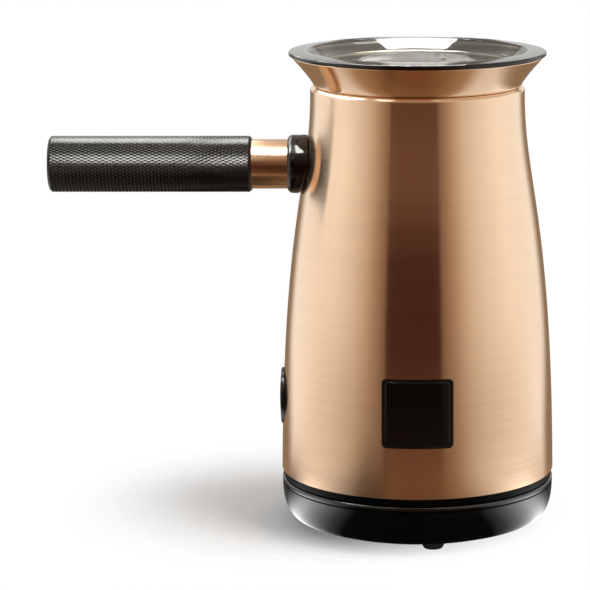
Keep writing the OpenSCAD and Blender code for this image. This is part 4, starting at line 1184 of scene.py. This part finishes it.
    def floor_finish(self):
        """Pale paper that fades into the white behind it."""
        paper = Card("floor_paper")
        fade = paper.eased(paper.distance((0.045, -0.03, 0)), 0.035, 0.12)
        matt = paper.node("ShaderNodeBsdfDiffuse", {"Color": (0.93, 0.93, 0.93, 1)})
        return paper.faded(fade, matt.outputs[0])

    def world(self):
        """White where it is seen or mirrored, and softer where it lights."""
        world = bpy.data.worlds.new("studio")
        bpy.context.scene.world = world
        world.use_nodes = True
        sky = NodeTree(world.node_tree)
        rays = sky.node("ShaderNodeLightPath").outputs
        seen = rays["Is Camera Ray"]
        for ray in ("Is Glossy Ray", "Is Transmission Ray"):
            both = {0: seen, 1: rays[ray]}
            seen = sky.node("ShaderNodeMath", both, operation="ADD", use_clamp=True).outputs[0]
        level = sky.spread(seen, 0.62, 1.0, 0.0, 1.0)
        sky.fill(world.node_tree.nodes["Background"], {"Color": (1, 1, 1, 1), "Strength": level})

    def lamp(self, place):
        """A soft key light that points at the frother's middle."""
        light = bpy.data.lights.new("key", "AREA")
        light.shape = "DISK"
        light.size = 1.0
        light.energy = 15.0
        obj = bpy.data.objects.new("key", light)
        obj.location = place
        obj.rotation_euler = (Vector(place) - Vector((0, 0, 0.1))).to_track_quat("Z", "Y").to_euler()
        obj.visible_glossy = False
        bpy.context.scene.collection.objects.link(obj)

    def camera(self, settings):
        """A long lens that looks down a little, with the frother to the right of its middle."""
        data = bpy.data.cameras.new("camera")
        data.lens = settings.focal_length
        data.sensor_width = 36
        data.shift_x = LENS_SHIFT
        obj = bpy.data.objects.new("camera", data)
        obj.location = (0, -settings.camera_distance, CAMERA_HEIGHT)
        obj.rotation_euler = (CAMERA_TILT, 0, 0)
        bpy.context.scene.collection.objects.link(obj)
        bpy.context.scene.camera = obj
        bpy.context.scene.view_settings.view_transform = "Standard"


# ---------------------------------------------------------------- panel
PIECES = (FROTHER_OT_shell, FROTHER_OT_collar, FROTHER_OT_vessel, FROTHER_OT_lid, FROTHER_OT_handle,
          FROTHER_OT_badge, FROTHER_OT_button, FROTHER_OT_jug_foot, FROTHER_OT_base,
          FROTHER_OT_inner_parts, FROTHER_OT_stage)


class FROTHER_PT_panel(bpy.types.Panel):
    """Lists the pieces and their settings"""

    bl_idname = "FROTHER_PT_panel"
    bl_label = "Milk frother"
    bl_space_type = "VIEW_3D"
    bl_region_type = "UI"
    bl_category = "Frother"

    def draw(self, context):
        layout = self.layout
        scene = context.scene
        for group in (scene.frother_sizes, scene.frother_finish, scene.frother_stage):
            box = layout.box()
            for name in group.__annotations__:
                box.prop(group, name)
        for step in PIECES:
            layout.operator(step.bl_idname)


CLASSES = (FrotherSizes, FrotherFinish, FrotherStage, *PIECES, FROTHER_PT_panel)


def register():
    for one in CLASSES:
        bpy.utils.register_class(one)
    bpy.types.Scene.frother_sizes = bpy.props.PointerProperty(type=FrotherSizes)
    bpy.types.Scene.frother_finish = bpy.props.PointerProperty(type=FrotherFinish)
    bpy.types.Scene.frother_stage = bpy.props.PointerProperty(type=FrotherStage)


def unregister():
    del bpy.types.Scene.frother_stage
    del bpy.types.Scene.frother_finish
    del bpy.types.Scene.frother_sizes
    for one in reversed(CLASSES):
        bpy.utils.unregister_class(one)


def main():
    register()
    for step in PIECES:
        getattr(bpy.ops.frother, step.bl_idname.split(".")[1])()


if __name__ == "__main__":
    main()
